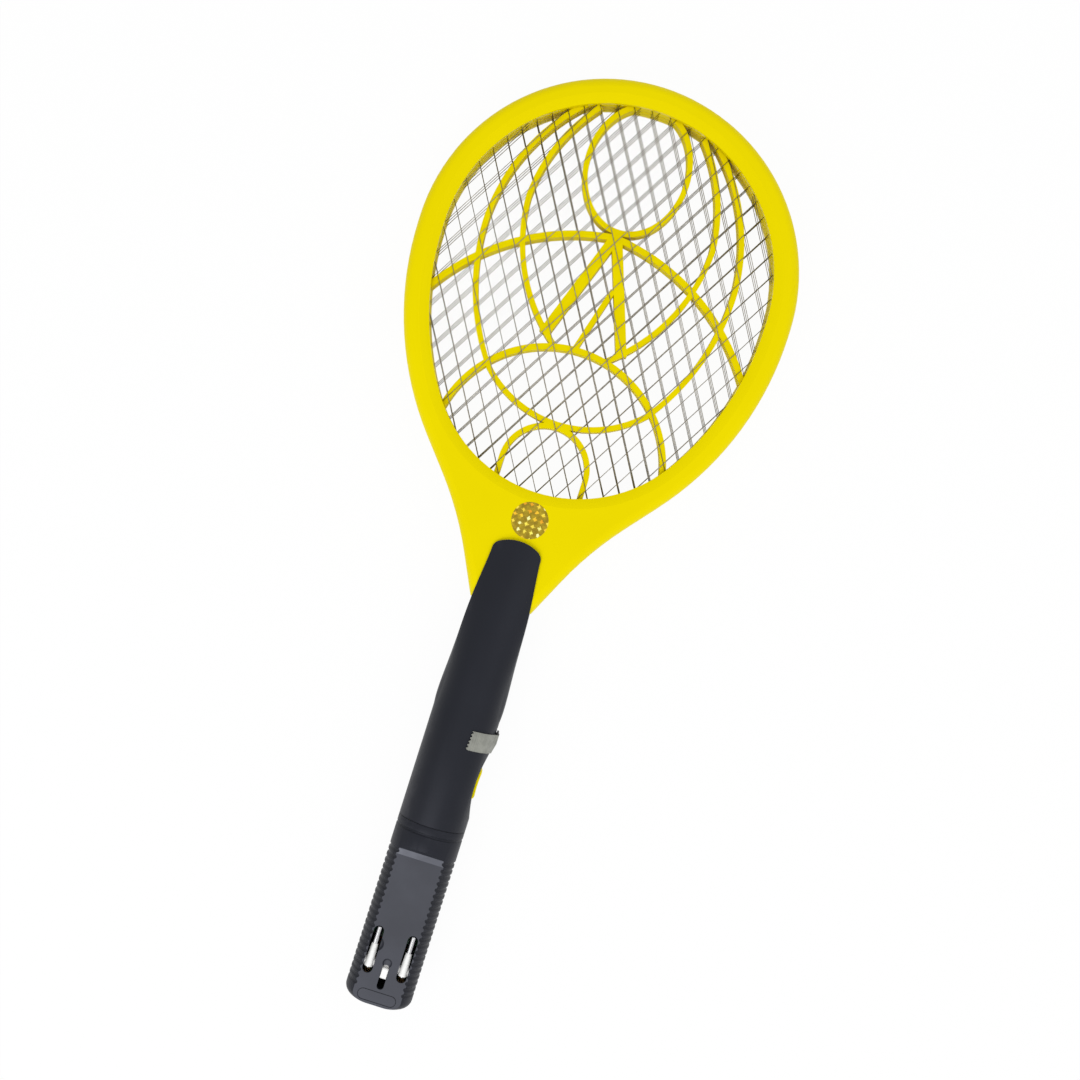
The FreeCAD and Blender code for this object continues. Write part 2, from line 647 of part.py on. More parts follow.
def grip_profile(r, end, rounding, ribbed):
    """Half outline of the round grip, turned about the Y axis."""
    edges = []
    points = [V(0, GRIP_FRONT, 0), V(r, GRIP_FRONT, 0)]
    grooves = []
    if ribbed:
        grooves.append((FINE_RING_Y, FINE_RING_W, FINE_RING_DEPTH))
        grooves.append((RING_Y, RING_W, RING_DEPTH))
        for i in range(RIB_COUNT):
            grooves.append((RIB_FIRST_Y - i * RIB_PITCH, RIB_PITCH - RIB_LAND, RIB_DEPTH))
    edges.append(line(points[0], points[1]))
    at = points[1]
    for y, width, depth in grooves:
        top = V(r, y + width / 2, 0)
        low = V(r, y - width / 2, 0)
        edges.append(line(at, top))
        edges.append(arc(top, V(r - depth, y, 0), low))
        at = low
    corner = V(r, end + rounding, 0)
    edges.append(line(at, corner))
    k = rounding * (1 - math.sqrt(0.5))
    butt = V(r - rounding, end, 0)
    edges.append(arc(corner, V(r - k, end + k, 0), butt))
    edges.append(line(butt, V(0, end, 0)))
    edges.append(line(V(0, end, 0), points[0]))
    return Part.Face(Part.Wire(edges))


def turned(face):
    return face.revolve(V(0, 0, 0), V(0, 1, 0), 360)


def recess_cut(wall):
    x = RECESS_X - wall + RECESS_R + wall
    return cyl_z(x, RECESS_Y, -GRIP_R - 1, GRIP_R + 1, RECESS_R + wall)


def panel_cut(wall):
    """Everything above the plug panel and its ramp."""
    y = wall / 2
    far = HANDLE_END - 5
    high = GRIP_R + 5
    points = [
        V(0, CREST_Y + y, GRIP_R + 0.1 - wall), V(0, RAMP_Y + y, PANEL_H + RAMP_RISE - wall),
        V(0, PANEL_Y + y, PANEL_H - wall), V(0, far, PANEL_H - wall), V(0, far, high),
        V(0, CREST_Y + y, high),
    ]
    face = polygon(points)
    face.translate(V(-GRIP_R - 5, 0, 0))
    return face.extrude(V(2 * GRIP_R + 10, 0, 0))


def tip_plan():
    """Plan of the handle with the tongue's tip rounded."""
    tip = NECK_END + TIP_L
    centre_x = TIP_W - TIP_ROUND
    rise = math.sqrt((TIP_CURVE - TIP_ROUND) ** 2 - centre_x ** 2)
    shoulder = tip - TIP_CURVE + rise
    turn = math.degrees(math.atan2(rise, centre_x))
    wide = GRIP_R + 5
    corner = polar(centre_x, shoulder, TIP_ROUND, turn)
    half = [
        line(V(0, HANDLE_END - 5, 0), V(wide, HANDLE_END - 5, 0)),
        line(V(wide, HANDLE_END - 5, 0), V(wide, shoulder, 0)),
        line(V(wide, shoulder, 0), V(TIP_W, shoulder, 0)),
        arc(V(TIP_W, shoulder, 0), polar(centre_x, shoulder, TIP_ROUND, turn / 2), corner),
    ]
    crown = arc(corner, V(0, tip, 0), V(-corner.x, corner.y, 0))
    edges = half + [mirror_x(e) for e in half] + [crown]
    return Part.Face(Part.Wire(Part.__sortEdges__(edges)))


def handle_outer():
    loft = Part.makeLoft([section(*s) for s in TONGUE], True, False)
    loft = loft.common(prism(tip_plan(), -2 * GRIP_R, 2 * GRIP_R))
    grip = turned(grip_profile(GRIP_R, HANDLE_END, END_ROUND, True))
    return grip.fuse(loft).cut(recess_cut(0)).cut(panel_cut(0))


def handle_inner():
    """Room inside the handle, one wall in from its outside."""
    front = NECK_END - WALL
    stations = [(y, w - WALL, h - WALL, s * 0.8) for y, w, h, s in TONGUE]
    stations[0] = (GRIP_FRONT, GRIP_R - WALL, GRIP_R - WALL, 5.4)
    loft = Part.makeLoft([section(*s) for s in stations], True, False)
    loft = loft.common(box(-30, 30, GRIP_FRONT - 1, front, -30, 30))
    r = GRIP_R - WALL
    grip = turned(grip_profile(r, HANDLE_END + WALL, END_ROUND - WALL, False))
    return grip.fuse(loft).cut(recess_cut(WALL)).cut(panel_cut(WALL))


def pin_slots():
    cuts = []
    r = SLOT_W / 2
    front = PIN_TIP_Y + SLOT_FRONT
    z0 = PANEL_H - WALL - 1
    for side in (-1, 1):
        x = side * PIN_GAP / 2
        back = AXLE_Y - SLOT_BACK
        cuts.append(box(x - r, x + r, back + r, front - r, z0, PANEL_H + 1))
        cuts.append(cyl_z(x, back + r, z0, PANEL_H + 1, r))
        cuts.append(cyl_z(x, front - r, z0, PANEL_H + 1, r))
    w = LUG_SLOT_W / 2
    behind, ahead = AXLE_Y - LUG_SLOT[0] + w, AXLE_Y + LUG_SLOT[1] - w
    cuts.append(box(-w, w, behind, ahead, z0, PANEL_H + 1))
    cuts += [cyl_z(0, y, z0, PANEL_H + 1, w) for y in (behind, ahead)]
    return cuts


def dish(x, y, r, depth):
    """Cutter for a round shallow hollow in the plug panel."""
    ball = (r * r + depth * depth) / (2 * depth)
    return Part.makeSphere(ball, V(x, y, PANEL_H - depth + ball))


def nail_dishes():
    """Hollows for a fingernail beside the left pin and ahead of the lug."""
    x, ahead = PIN_DISH_AT
    pin_dish = dish(-x, AXLE_Y + ahead, PIN_DISH_R, PIN_DISH_DEPTH)
    return [pin_dish, dish(0, AXLE_Y + LUG_DISH_AHEAD, LUG_DISH_R, LUG_DISH_DEPTH)]


def plate_form(grow, z0, z1):
    """Round-ended block on the middle of the plate, grown all round."""
    half_w, half_h = PLATE_HALF_W + grow, PLATE_HALF_H + grow
    flat = half_w - half_h
    middle = box(-flat, flat, PLATE_Y - half_h, PLATE_Y + half_h, z0, z1)
    return middle.multiFuse([cyl_z(x, PLATE_Y, z0, z1, half_h) for x in (-flat, flat)])


def plate_groove():
    half = PLATE_LINE / 2
    outside = plate_form(half, PANEL_H - PLATE_DEPTH, PANEL_H + 1)
    return outside.cut(plate_form(-half, PANEL_H - WALL, PANEL_H + 2))


def side_openings():
    """Openings for the trigger and for the stem of the slide knob."""
    g = TRIGGER_GAP
    trigger = box(FLANGE_X, GRIP_R + 1, TRIGGER_Y - TRIGGER_L / 2 - g, TRIGGER_Y + TRIGGER_L / 2 + g,
                  -TRIGGER_H / 2 - g, TRIGGER_H / 2 + g)
    y0 = KNOB_Y - STEM_L / 2 - STEM_RUN
    y1 = KNOB_Y + STEM_L / 2 + KNOB_TRAVEL + STEM_RUN
    stem = box(FLANGE_X, GRIP_R + 1, y0, y1, -STEM_H / 2 - STEM_RUN, STEM_H / 2 + STEM_RUN)
    return [trigger, stem]


def build_handle(frame_form):
    outer = handle_outer()
    inner = handle_inner()
    form = outer.copy()
    whole_head = [frame_form, mirror_z(frame_form)]
    tenon_room = box(-TENON_W / 2 - 0.1, TENON_W / 2 + 0.1, TENON_END - 0.1, NECK_END + 5,
                     -TENON_T / 2 - STACK_GAP, TENON_T / 2 + STACK_GAP)
    shell = form.cut(inner).cut(Part.makeCompound(whole_head)).cut(tenon_room)
    upper = box(-30, 30, HANDLE_END - 5, 10, 0, 30)
    lower = box(-30, 30, HANDLE_END - 5, 10, -30, 0)
    cover = shell.common(upper)
    base = shell.common(lower)

    # clamps over and under the tenon, posts for the plug's axle
    clamps = []
    for y in (NECK_END - 7.0, TENON_END + 2.0):
        low = TENON_T / 2 + STACK_GAP
        clamps.append(box(-CLAMP_HALF_W, CLAMP_HALF_W, y - RIB_T / 2, y + RIB_T / 2, low, GRIP_R))
    posts = []
    for side in (-1, 1):
        x0, x1 = sorted((side * (BAR_HALF + POST_IN), side * (BAR_HALF + POST_IN + 3)))
        posts.append(box(x0, x1, AXLE_Y - POST_HALF, AXLE_Y + POST_HALF, AXLE_Z - POST_HALF, PANEL_H - 1))
    upper_bosses = [cyl_z(0, y, 0, GRIP_R, BOSS_R) for y in HANDLE_SCREW_Y]
    added = Part.makeCompound(clamps + posts + upper_bosses).common(outer)
    cover = cover.multiFuse(added.Solids)

    head_z = -GRIP_R + HANDLE_SINK
    lower_bosses = [cyl_z(0, y, -GRIP_R, 0, BOSS_R) for y in HANDLE_SCREW_Y]
    ribs = []
    w = RIB_HALF_W
    for y in (BOARD_BACK + 3, MID_SCREW_Y - 7.5, MID_SCREW_Y + 17.5, BOARD_FRONT - 5):
        ribs.append(box(-w, w, y - RIB_T / 2, y + RIB_T / 2, -GRIP_R, BOARD_TOP - BOARD_T))
    for y in (CHARGE_BACK + 2, CHARGE_FRONT - 2):
        ribs.append(box(-w, w, y - RIB_T / 2, y + RIB_T / 2, -GRIP_R, CHARGE_TOP - BOARD_T))
    cradle_cut = [cyl_y(x, -CELL_LOW, CELL_BACK, CELL_FRONT, CELL_R + STACK_GAP) for x in cell_x()]
    w = CRADLE_HALF_W
    for y in (CELL_BACK + 9, CELL_FRONT - 9):
        rib = box(-w, w, y - RIB_T / 2, y + RIB_T / 2, -GRIP_R, -CELL_LOW - 1)
        ribs.append(rib.cut(Part.makeCompound(cradle_cut)))
    for clamp in clamps:
        ribs.append(mirror_z(clamp))
    added = Part.makeCompound(ribs + lower_bosses).common(outer)
    base = base.multiFuse(added.Solids)

    cuts = pin_slots() + nail_dishes() + side_openings() + [plate_groove()]
    stub = BAR_HALF + STUB_L + 0.2
    cuts.append(cyl_x(AXLE_Y, AXLE_Z, -stub, stub, STUB_R + STUB_RUN))
    clear = HANDLE_SCREW_R + SCREW_CLEAR
    screws = []
    base_cuts = side_openings()
    for y in HANDLE_SCREW_Y:
        cuts.append(cyl_z(0, y, -1, HANDLE_SCREW_UP + 1, clear))
        base_cuts.append(cyl_z(0, y, -GRIP_R, 1, clear))
        seat = head_z + HANDLE_HEAD_T
        base_cuts.append(cyl_z(0, y, -GRIP_R - 1, seat + SCREW_CLEAR, HANDLE_HEAD_R + SCREW_CLEAR))
        cross = cross_recess(0, y, head_z, HANDLE_HEAD_R * 0.63, CROSS_W * 1.4, HANDLE_HEAD_T / 2)
        head = cyl_z(0, y, head_z, seat, HANDLE_HEAD_R).cut(cross)
        screws.append(head.fuse(cyl_z(0, y, seat - 0.1, HANDLE_SCREW_UP, HANDLE_SCREW_R)))
    save("handle_cover", [cover.cut(Part.makeCompound(cuts))])
    save("handle_base", [base.cut(Part.makeCompound(base_cuts))])
    save("handle_screws", screws)


def tape_section(y, lift):
    """Cross-section of the tape at y; lift is how far it stands off where it crosses the knob."""
    r0 = GRIP_R + TAPE_GAP
    r1 = r0 + TAPE_T
    h = KNOB_H / 2 + TAPE_OVER
    foot = h + TAPE_SLOPE
    start = 90 - TAPE_START
    def rim(r, z_sign, angle):
        return V(r * math.cos(angle * RAD), y, z_sign * r * math.sin(angle * RAD))
    def half(r, sign):
        top = rim(r, sign, start)
        a = math.degrees(math.asin(foot / r))
        low = rim(r, sign, a)
        return top, rim(r, sign, (start + a) / 2), low
    edges = []
    for r, bump in ((r1, lift + TAPE_T), (r0, lift)):
        ua, ub, uc = half(r, 1)
        la, lb, lc = half(r, -1)
        x = GRIP_R + TAPE_GAP + bump
        crest = [V(x, y, h), V(x, y, -h)]
        edges.append([ua, arc(ua, ub, uc), line(uc, crest[0]), line(crest[0], crest[1]),
                      line(crest[1], lc), arc(lc, lb, la), la])
    outer, inner = edges
    wire = outer[1:6] + [line(outer[6], inner[6])] + list(reversed(inner[1:6])) + [line(inner[0], outer[0])]
    return Part.Wire(wire)


def build_tape():
    lift = KNOB_OFF + KNOB_T + 0.15
    flat = 0.02
    behind_knob = KNOB_Y - KNOB_L / 2 - TAPE_OVER
    sections = [tape_section(TAPE_FRONT, lift), tape_section(behind_knob, lift),
                tape_section(TAPE_FRONT - TAPE_W, flat)]
    save("tape_strip", [Part.makeLoft(sections, True, True)])


# ---------------------------------------------------------------- trigger, knob, plug
def build_trigger():
    y0, y1 = TRIGGER_Y - TRIGGER_L / 2, TRIGGER_Y + TRIGGER_L / 2
    h = TRIGGER_H / 2
    r = RECESS_R - TRIGGER_PROUD
    hollow = cyl_z(RECESS_X + RECESS_R, RECESS_Y, -h - 1, h + 1, r)
    cap = box(FLANGE_X - 0.5, GRIP_R, y0, y1, -h, h).cut(hollow)
    ends = [e for e in cap.Edges if e.BoundBox.XMin > RECESS_X and e.BoundBox.YLength < 1e-6]
    cap = cap.makeFillet(TRIGGER_END, ends)
    rim = [e for e in cap.Edges if e.BoundBox.XMax > RECESS_X and e.BoundBox.ZLength < 1e-6]
    cap = cap.makeFillet(TRIGGER_ROUND, rim)
    lip = TRIGGER_FLANGE_LIP
    flange = box(FLANGE_X - TRIGGER_FLANGE, FLANGE_X, y0 - lip, y1 + lip, -h - lip, h + lip)
    save("trigger_button", [cap.fuse(flange)])
    back = FLANGE_X - TRIGGER_FLANGE
    w = PLUNGER_W / 2
    save("switch_plunger", [box(PUSH_X - PLUNGER_DEEP, back, TRIGGER_Y - w, TRIGGER_Y + w, -w, w)])
    bx, by, bz = PUSH_BODY
    body = box(PUSH_X - bx, PUSH_X, TRIGGER_Y - by / 2, TRIGGER_Y + by / 2, BOARD_TOP, BOARD_TOP + bz)
    g = PLUNGER_RUN
    deep = PUSH_X - PLUNGER_DEEP - TRIGGER_TRAVEL - 0.3
    pocket = box(deep, PUSH_X + 1, TRIGGER_Y - w - g, TRIGGER_Y + w + g, -w - g, w + g)
    save("push_switch_body", [body.cut(pocket)])


def build_knob():
    half = KNOB_L / 2
    cap = box(KNOB_X, KNOB_X + KNOB_T, KNOB_Y - half, KNOB_Y + half, -KNOB_H / 2, KNOB_H / 2)
    outer = [e for e in cap.Edges if abs(e.BoundBox.XMin - KNOB_X - KNOB_T) < 1e-6]
    cap = cap.makeFillet(0.5, outer)
    x1 = SLIDE_BODY_X[1]
    stem = box(x1 - STEM_DEEP, KNOB_X + KNOB_T / 2, KNOB_Y - STEM_L / 2, KNOB_Y + STEM_L / 2,
               -STEM_H / 2, STEM_H / 2)
    save("power_knob", [cap.fuse(stem)])
    middle = KNOB_Y + KNOB_TRAVEL / 2
    body = box(SLIDE_BODY_X[0], x1, middle - SLIDE_BODY_L / 2, middle + SLIDE_BODY_L / 2,
               BOARD_TOP, BOARD_TOP + SLIDE_BODY_H)
    y0 = KNOB_Y - STEM_L / 2 - STEM_RUN
    y1 = KNOB_Y + STEM_L / 2 + KNOB_TRAVEL + STEM_RUN
    z = STEM_H / 2 + PLUNGER_RUN
    save("slide_switch_body", [body.cut(box(x1 - STEM_DEEP - 0.3, x1 + 1, y0, y1, -z, z))])


def sleeve(x):
    """White sleeve of one pin: a cone with a rounded foot behind the axle."""
    foot = AXLE_Y - BAR_R
    k = SLEEVE_ROUND * (1 - math.sqrt(0.5))
    edges = [
        line(V(0, foot, 0), V(SLEEVE_R1 - SLEEVE_ROUND, foot, 0)),
        arc(V(SLEEVE_R1 - SLEEVE_ROUND, foot, 0), V(SLEEVE_R1 - k, foot + k, 0),
            V(SLEEVE_R1, foot + SLEEVE_ROUND, 0)),
        line(V(SLEEVE_R1, foot + SLEEVE_ROUND, 0), V(SLEEVE_R0, SLEEVE_END_Y, 0)),
        line(V(SLEEVE_R0, SLEEVE_END_Y, 0), V(0, SLEEVE_END_Y, 0)),
        line(V(0, SLEEVE_END_Y, 0), V(0, foot, 0)),
    ]
    body = turned(Part.Face(Part.Wire(edges)))
    body.translate(V(x, 0, PIN_Z))
    return body


def build_plug():
    bar_solid = cyl_x(AXLE_Y, AXLE_Z, -BAR_HALF, BAR_HALF, BAR_R)
    stubs = cyl_x(AXLE_Y, AXLE_Z, -BAR_HALF - STUB_L, BAR_HALF + STUB_L, STUB_R)
    sleeves = []
    cores = []
    pins = []
    for side in (-1, 1):
        x = side * PIN_GAP / 2
        sleeves.append(sleeve(x))
        back = AXLE_Y - BAR_R - CONTACT_NUB
        cores.append(cyl_y(x, PIN_Z, back - 1, SLEEVE_END_Y + 1, PIN_CORE_R))
        bare = cyl_y(x, PIN_Z, SLEEVE_END_Y, PIN_TIP_Y, PIN_R)
        tip = [e for e in bare.Edges if abs(e.BoundBox.YMin - PIN_TIP_Y) < 1e-6]
        bare = bare.makeFillet(PIN_TIP_ROUND, tip)
        pins.append(bare.fuse(cyl_y(x, PIN_Z, back, SLEEVE_END_Y + 0.5, PIN_CORE_R)))
    lug_top = PANEL_H - LUG_SUNK
    lug = box(-LUG_W / 2, LUG_W / 2, AXLE_Y - LUG_BACK, AXLE_Y, AXLE_Z - 1, lug_top)
    ends = [e for e in lug.Edges if e.BoundBox.XLength > 1 and e.BoundBox.ZMin > lug_top - 0.1]
    lug = lug.makeFillet(LUG_ROUND, ends)
    carrier = bar_solid.multiFuse([stubs, lug] + sleeves)
    save("plug_carrier", [carrier.cut(Part.makeCompound(cores))])
    save("plug_pins", pins)
    leaves = []
    top = AXLE_Z - BAR_R - CONTACT_NUB - CONTACT_GAP
    back = AXLE_Y - LEAF_BACK
    for side in (-1, 1):
        x = side * PIN_GAP / 2
        w = LEAF_W / 2
        leaf = box(x - w, x + w, back, back + LEAF_L, top - LEAF_T, top)
        leg = box(x - w, x + w, back, back + LEAF_T, CHARGE_TOP, top)
        leaves.append(leaf.fuse(leg))
    save("contact_springs", leaves)


# ---------------------------------------------------------------- electronics
def cell_x():
    return (-CELL_R - CELL_GAP / 2, CELL_R + CELL_GAP / 2)


def lead(points):
    """Round insulated wire along straight runs with ball corners."""
    pieces = []
    for a, b in zip(points, points[1:]):
        p, q = V(*a), V(*b)
        pieces.append(Part.makeCylinder(LEAD_R, (q - p).Length, p, q - p))
    for c in points[1:-1]:
        pieces.append(Part.makeSphere(LEAD_R + LEAD_BALL, V(*c)))
    return pieces[0].multiFuse(pieces[1:])


def axial(x, y, z, length, r):
    """Axial part lying along X on its board, with bent wire ends."""
    body = cyl_x(y, z + r, x - length / 2, x + length / 2, r)
    wire = 0.3
    out = length / 2 + 1.2
    ends = []
    for side in (-1, 1):
        x0, x1 = sorted((x + side * (length / 2 - 0.5), x + side * out))
        ends.append(box(x0, x1, y - wire, y + wire, z + r - wire, z + r + wire))
        x0, x1 = sorted((x + side * (out - 2 * wire), x + side * out))
        ends.append(box(x0, x1, y - wire, y + wire, z, z + r))
    return body.multiFuse(ends)


def build_boards():
    low = BOARD_TOP - BOARD_T
    main = box(-BOARD_HALF_W, BOARD_HALF_W, BOARD_BACK, BOARD_FRONT, low, BOARD_TOP)
    hole_for_boss = cyl_z(0, MID_SCREW_Y, low - 1, BOARD_TOP + 1, BOSS_R + 0.3)
    pressed = FLANGE_X - TRIGGER_FLANGE - TRIGGER_TRAVEL - BOARD_RUN
    reach = TRIGGER_L / 2 + TRIGGER_FLANGE_LIP + BOARD_RUN
    notch = box(pressed, GRIP_R, TRIGGER_Y - reach, TRIGGER_Y + reach, low - 1, BOARD_TOP + 1)
    save("circuit_board", [main.cut(hole_for_boss).cut(notch)])
    charge = box(-CHARGE_HALF_W, CHARGE_HALF_W, CHARGE_BACK, CHARGE_FRONT, CHARGE_TOP - BOARD_T, CHARGE_TOP)
    save("charging_board", [charge])


def block(x, y, z, sizes):
    """Box of the given X, Y and Z sizes that stands at height z with its middle at x, y."""
    w, length, h = sizes
    return box(x - w / 2, x + w / 2, y - length / 2, y + length / 2, z, z + h)


def build_transformer():
    """E-core on its side with a winding through both windows."""
    width, length, height = CORE
    cx, cy, z = CORE_AT[0], BOARD_FRONT - CORE_AT[1], BOARD_TOP
    window = (height - 3 * CORE_LEG + 1) / 2
    low = z + CORE_LEG - 0.5
    high = z + height - CORE_LEG + 0.5 - window
    core = block(cx, cy, z, CORE)
    for z0 in (low, high):
        core = core.cut(block(cx, cy, z0, (2 * width, length - 2 * CORE_LEG, window)))
    save("transformer_core", [core])
    g = STACK_GAP
    coil_size = (width + 2 * window, length - 2 * CORE_LEG - 4 * g, high + window - low - 2 * g)
    coil = block(cx, cy, low + g, coil_size)
    leg = block(cx, cy, low + window - g, (width + 2 * g, 2 * length, high - low - window + 2 * g))
    save("transformer_winding", [coil.cut(leg)])


def build_main_parts():
    z = BOARD_TOP
    save("hv_capacitor", [block(0, BOARD_FRONT - HV_CAP_BACK, z, HV_CAP)])
    x, off = MULTIPLIER_OFF
    save("multiplier_capacitors", [block(-x, MID_SCREW_Y + side * off, z, MULTIPLIER) for side in (1, -1)])
    first = MID_SCREW_Y + HV_DIODE_AHEAD
    save("hv_diodes", [axial(0.0, first + i * HV_DIODE_PITCH, z, *HV_DIODE) for i in range(3)])
    x, back, pitch = BLEEDER_AT
    save("bleed_resistors", [axial(x, TRIGGER_Y - back - i * pitch, z, *BLEEDER) for i in range(2)])
    x, ahead = TRANSISTOR_AT
    y = BOARD_BACK + ahead
    leg_w, leg_pitch, leg_l = TRANSISTOR_LEG
    legs = [block(x + i * leg_pitch, y, z, (leg_w, leg_w / 2, leg_l + 0.2)) for i in (-1, 0, 1)]
    save("drive_transistor", [block(x, y, z + leg_l, TRANSISTOR).multiFuse(legs)])
    r, h = SMOOTHING
    save("smoothing_capacitor", [cyl_z(SMOOTHING_X, y, z, z + h, r)])


def build_charge_parts():
    z = CHARGE_TOP
    save("dropper_capacitor", [block(0, CHARGE_FRONT - DROPPER_BACK, z, DROPPER)])
    x, ahead, pitch = RECTIFIER_AT
    save("rectifier_diodes", [axial(side * x, CHARGE_BACK + ahead + i * pitch, z, *RECTIFIER)
                              for side in (-1, 1) for i in range(2)])


def build_battery():
    cells = []
    for x in cell_x():
        body = cyl_y(x, -CELL_LOW, CELL_BACK, CELL_FRONT, CELL_R)
        rims = [e for e in body.Edges if e.Curve.TypeId == "Part::GeomCircle"]
        cells.append(body.makeFillet(0.6, rims))
    save("battery_cells", cells)
    z0, z1 = -CELL_LOW - TAB_H / 2, -CELL_LOW + TAB_H / 2
    reach = 1.4 * CELL_R
    tabs = [box(-reach, reach, CELL_FRONT, CELL_FRONT + TAB_T, z0, z1)]
    for side in (-1, 1):
        x0, x1 = sorted((side * 0.2 * CELL_R, side * 1.55 * CELL_R))
        tabs.append(box(x0, x1, CELL_BACK - TAB_T, CELL_BACK, z0, z1))
    save("battery_tabs", tabs)
    front = CELL_FRONT
    back = CELL_BACK - TAB_T - LEAD_R - 0.1
    high = 0.7
    leads = []
    charge = []
    for side in (-1, 1):
        leads.append(lead([(side * 2.2, back, -CELL_LOW), (side * 2.2, back, high),
                           (side * 2.2, front + 1.5, high), (side * 5.0, front + 4.5, -1.0),
                           (side * 5.0, BOARD_BACK + 3, BOARD_TOP + LEAD_R + STACK_GAP)]))
        low = CHARGE_TOP + LEAD_R + STACK_GAP
        charge.append(lead([(side * 8.0, back, low), (side * 8.0, CHARGE_FRONT - 2.5, low)]))
    save("battery_leads", leads)
    save("charge_leads", charge)


def build_mesh_leads():
    start_z = BOARD_TOP + LEAD_R + STACK_GAP
    edge = HOLE_BOTTOM - MESH_TUCK
    front_z = OUTER_MESH_Z + MESH_T + LEAD_R + 0.05
    start_y = BOARD_FRONT - 1.2
    leads = [
        lead([(-8.0, start_y, start_z), (-8.0, TENON_END, 0), (-8.0, edge - 12, 1.0),
              (-8.0, edge - 2, front_z), (-8.0, edge + 1.4, front_z)]),
        lead([(-5.0, start_y, start_z), (-5.0, TENON_END, 0), (-5.0, edge - 16, 0.5),
              (-1.5, edge - HV_TAB[1] + 0.5, MESH_T / 2 + LEAD_R + 0.05)]),
        lead([(8.0, start_y, start_z), (8.0, TENON_END, 0), (8.0, edge - 12, -1.0),
              (8.0, edge - 2, -front_z), (8.0, edge + 1.4, -front_z)]),
    ]
    save("mesh_leads", leads)


os.makedirs("parts", exist_ok=True)
head_form = build_head()
build_grids()
build_handle(head_form)
build_tape()
build_trigger()
build_knob()
build_plug()
build_boards()
build_transformer()
build_main_parts()
build_charge_parts()
build_battery()
build_mesh_leads()
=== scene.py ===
import json
import math

import bpy
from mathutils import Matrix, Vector


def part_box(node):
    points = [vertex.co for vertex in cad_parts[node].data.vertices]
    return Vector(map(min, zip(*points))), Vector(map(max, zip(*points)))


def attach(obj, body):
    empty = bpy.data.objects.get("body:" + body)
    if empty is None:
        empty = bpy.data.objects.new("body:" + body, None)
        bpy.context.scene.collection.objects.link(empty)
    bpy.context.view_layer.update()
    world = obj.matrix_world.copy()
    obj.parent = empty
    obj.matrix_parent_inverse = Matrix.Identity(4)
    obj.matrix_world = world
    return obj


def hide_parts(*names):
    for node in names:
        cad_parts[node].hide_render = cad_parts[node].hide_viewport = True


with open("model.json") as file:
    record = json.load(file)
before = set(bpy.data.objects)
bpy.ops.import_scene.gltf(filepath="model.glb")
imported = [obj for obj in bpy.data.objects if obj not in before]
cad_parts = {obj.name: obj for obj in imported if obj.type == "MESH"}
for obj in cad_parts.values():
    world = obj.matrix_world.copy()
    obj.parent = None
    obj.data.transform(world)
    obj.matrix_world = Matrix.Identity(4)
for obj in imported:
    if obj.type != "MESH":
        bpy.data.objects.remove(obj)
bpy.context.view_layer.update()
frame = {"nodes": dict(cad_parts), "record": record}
NODES = frame["nodes"]
MM = 0.001

# ---- places read from the frame (metres) ----
COVER_LO, COVER_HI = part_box("handle_cover")
HEAD_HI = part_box("head_front_frame")[1]
MESH_LO, MESH_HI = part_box("front_mesh")
MID_Z = COVER_LO.z                       # middle plane, where the shells meet
BUTT_Y = COVER_LO.y
GRIP_R = COVER_HI.x
MOUNTS = {m["name"]: m for m in frame["record"]["mounts"]}
PANEL_Z = MOUNTS["plug_panel"]["pos_m"][2]

# ---- sizes of the pieces modelled here ----
GRID_PITCH = 8.8 * MM
GRID_ANGLE = math.radians(30.0)          # wires lean this far to either side
GRID_TUCK = 5.0 * MM                     # the flat grids reach this far under the rim
GRID_LOOK_UP = 1.5 * MM                  # the opening's wall is measured this far above the grid
WIRE_R = 0.19 * MM
WIRE_SIDES = 8
WIRE_RISE = 1.7 * WIRE_R                 # from one family of wires to the one across it
WIRE_TUCK = 1.5 * MM                     # wire ends inside the rim's lip
TAPE_THICK = 0.25 * MM
TAPE_START = math.radians(16.1)          # tape's end from the top of the grip
TAPE_LENGTH = 50.5 * MM                  # along the strip, laid flat
TAPE_ROWS, TAPE_COLUMNS = 44, 150        # across and along the strip
TAPE_ARC_STEPS = 12
TAPE_GAP = 0.12 * MM                     # its underside from the grip
TAPE_TEETH = 5.5
TAPE_TOOTH = 1.1 * MM
TAPE_SLANT = 0.9 * MM                    # the torn end runs this far askew
TAPE_FRAY = 0.12 * MM
TAPE_CLIMB = 5.6 * MM                    # width over which it climbs on to the knob
TAPE_LEAST_LIFT = 0.06                   # share of the knob's height at the low edge
KNOB_HALF = 3.4 * MM
KNOB_FOOT = 2.2 * MM                     # tape leaves the grip this far beside the knob
WEB_ROUND = 0.8 * MM                     # edge roundings
HEAD_ROUND = 0.35 * MM
HANDLE_ROUND = 0.2 * MM
WELD_REACH = 0.01 * MM

# ---- places that the materials follow ----
FLECK_PITCH = 3.7 * MM                   # of the sticker's pattern
PANEL_LENGTH = 81.6 * MM                 # plug panel from the butt
RAMP_HIGHLIGHT_LENGTH = 1.5 * MM                   # painted highlight band on the ramp at the panel's upper end

# ---- stage, light and camera (metres and watts) ----
FLOOR_WHITE = 0.95                       # how much of the seen floor is plain white
FLOOR_GREY = 0.92                        # the rest of it, which takes the shadow
FLOOR_HALF = 6.0
FLOOR_GAP = 0.0002                       # below the object
SKY_LIGHT = 0.70                         # world's light on the object
LAMPS = (                                # name, place, width, power
    ("key", (-0.25, -1.25, 1.25), 1.3, 13.0),
    ("fill", (0.95, 0.45, 1.3), 1.4, 4.5),
)
CAMERA_AT = (0.0098, 0.0056)
CAMERA_HEIGHT = 0.80                     # above the middle plane
CAMERA_TURN = math.radians(17.5)
VIEW_WIDTH = 0.587                       # seen on the middle plane
SENSOR = 36.0                            # millimetres


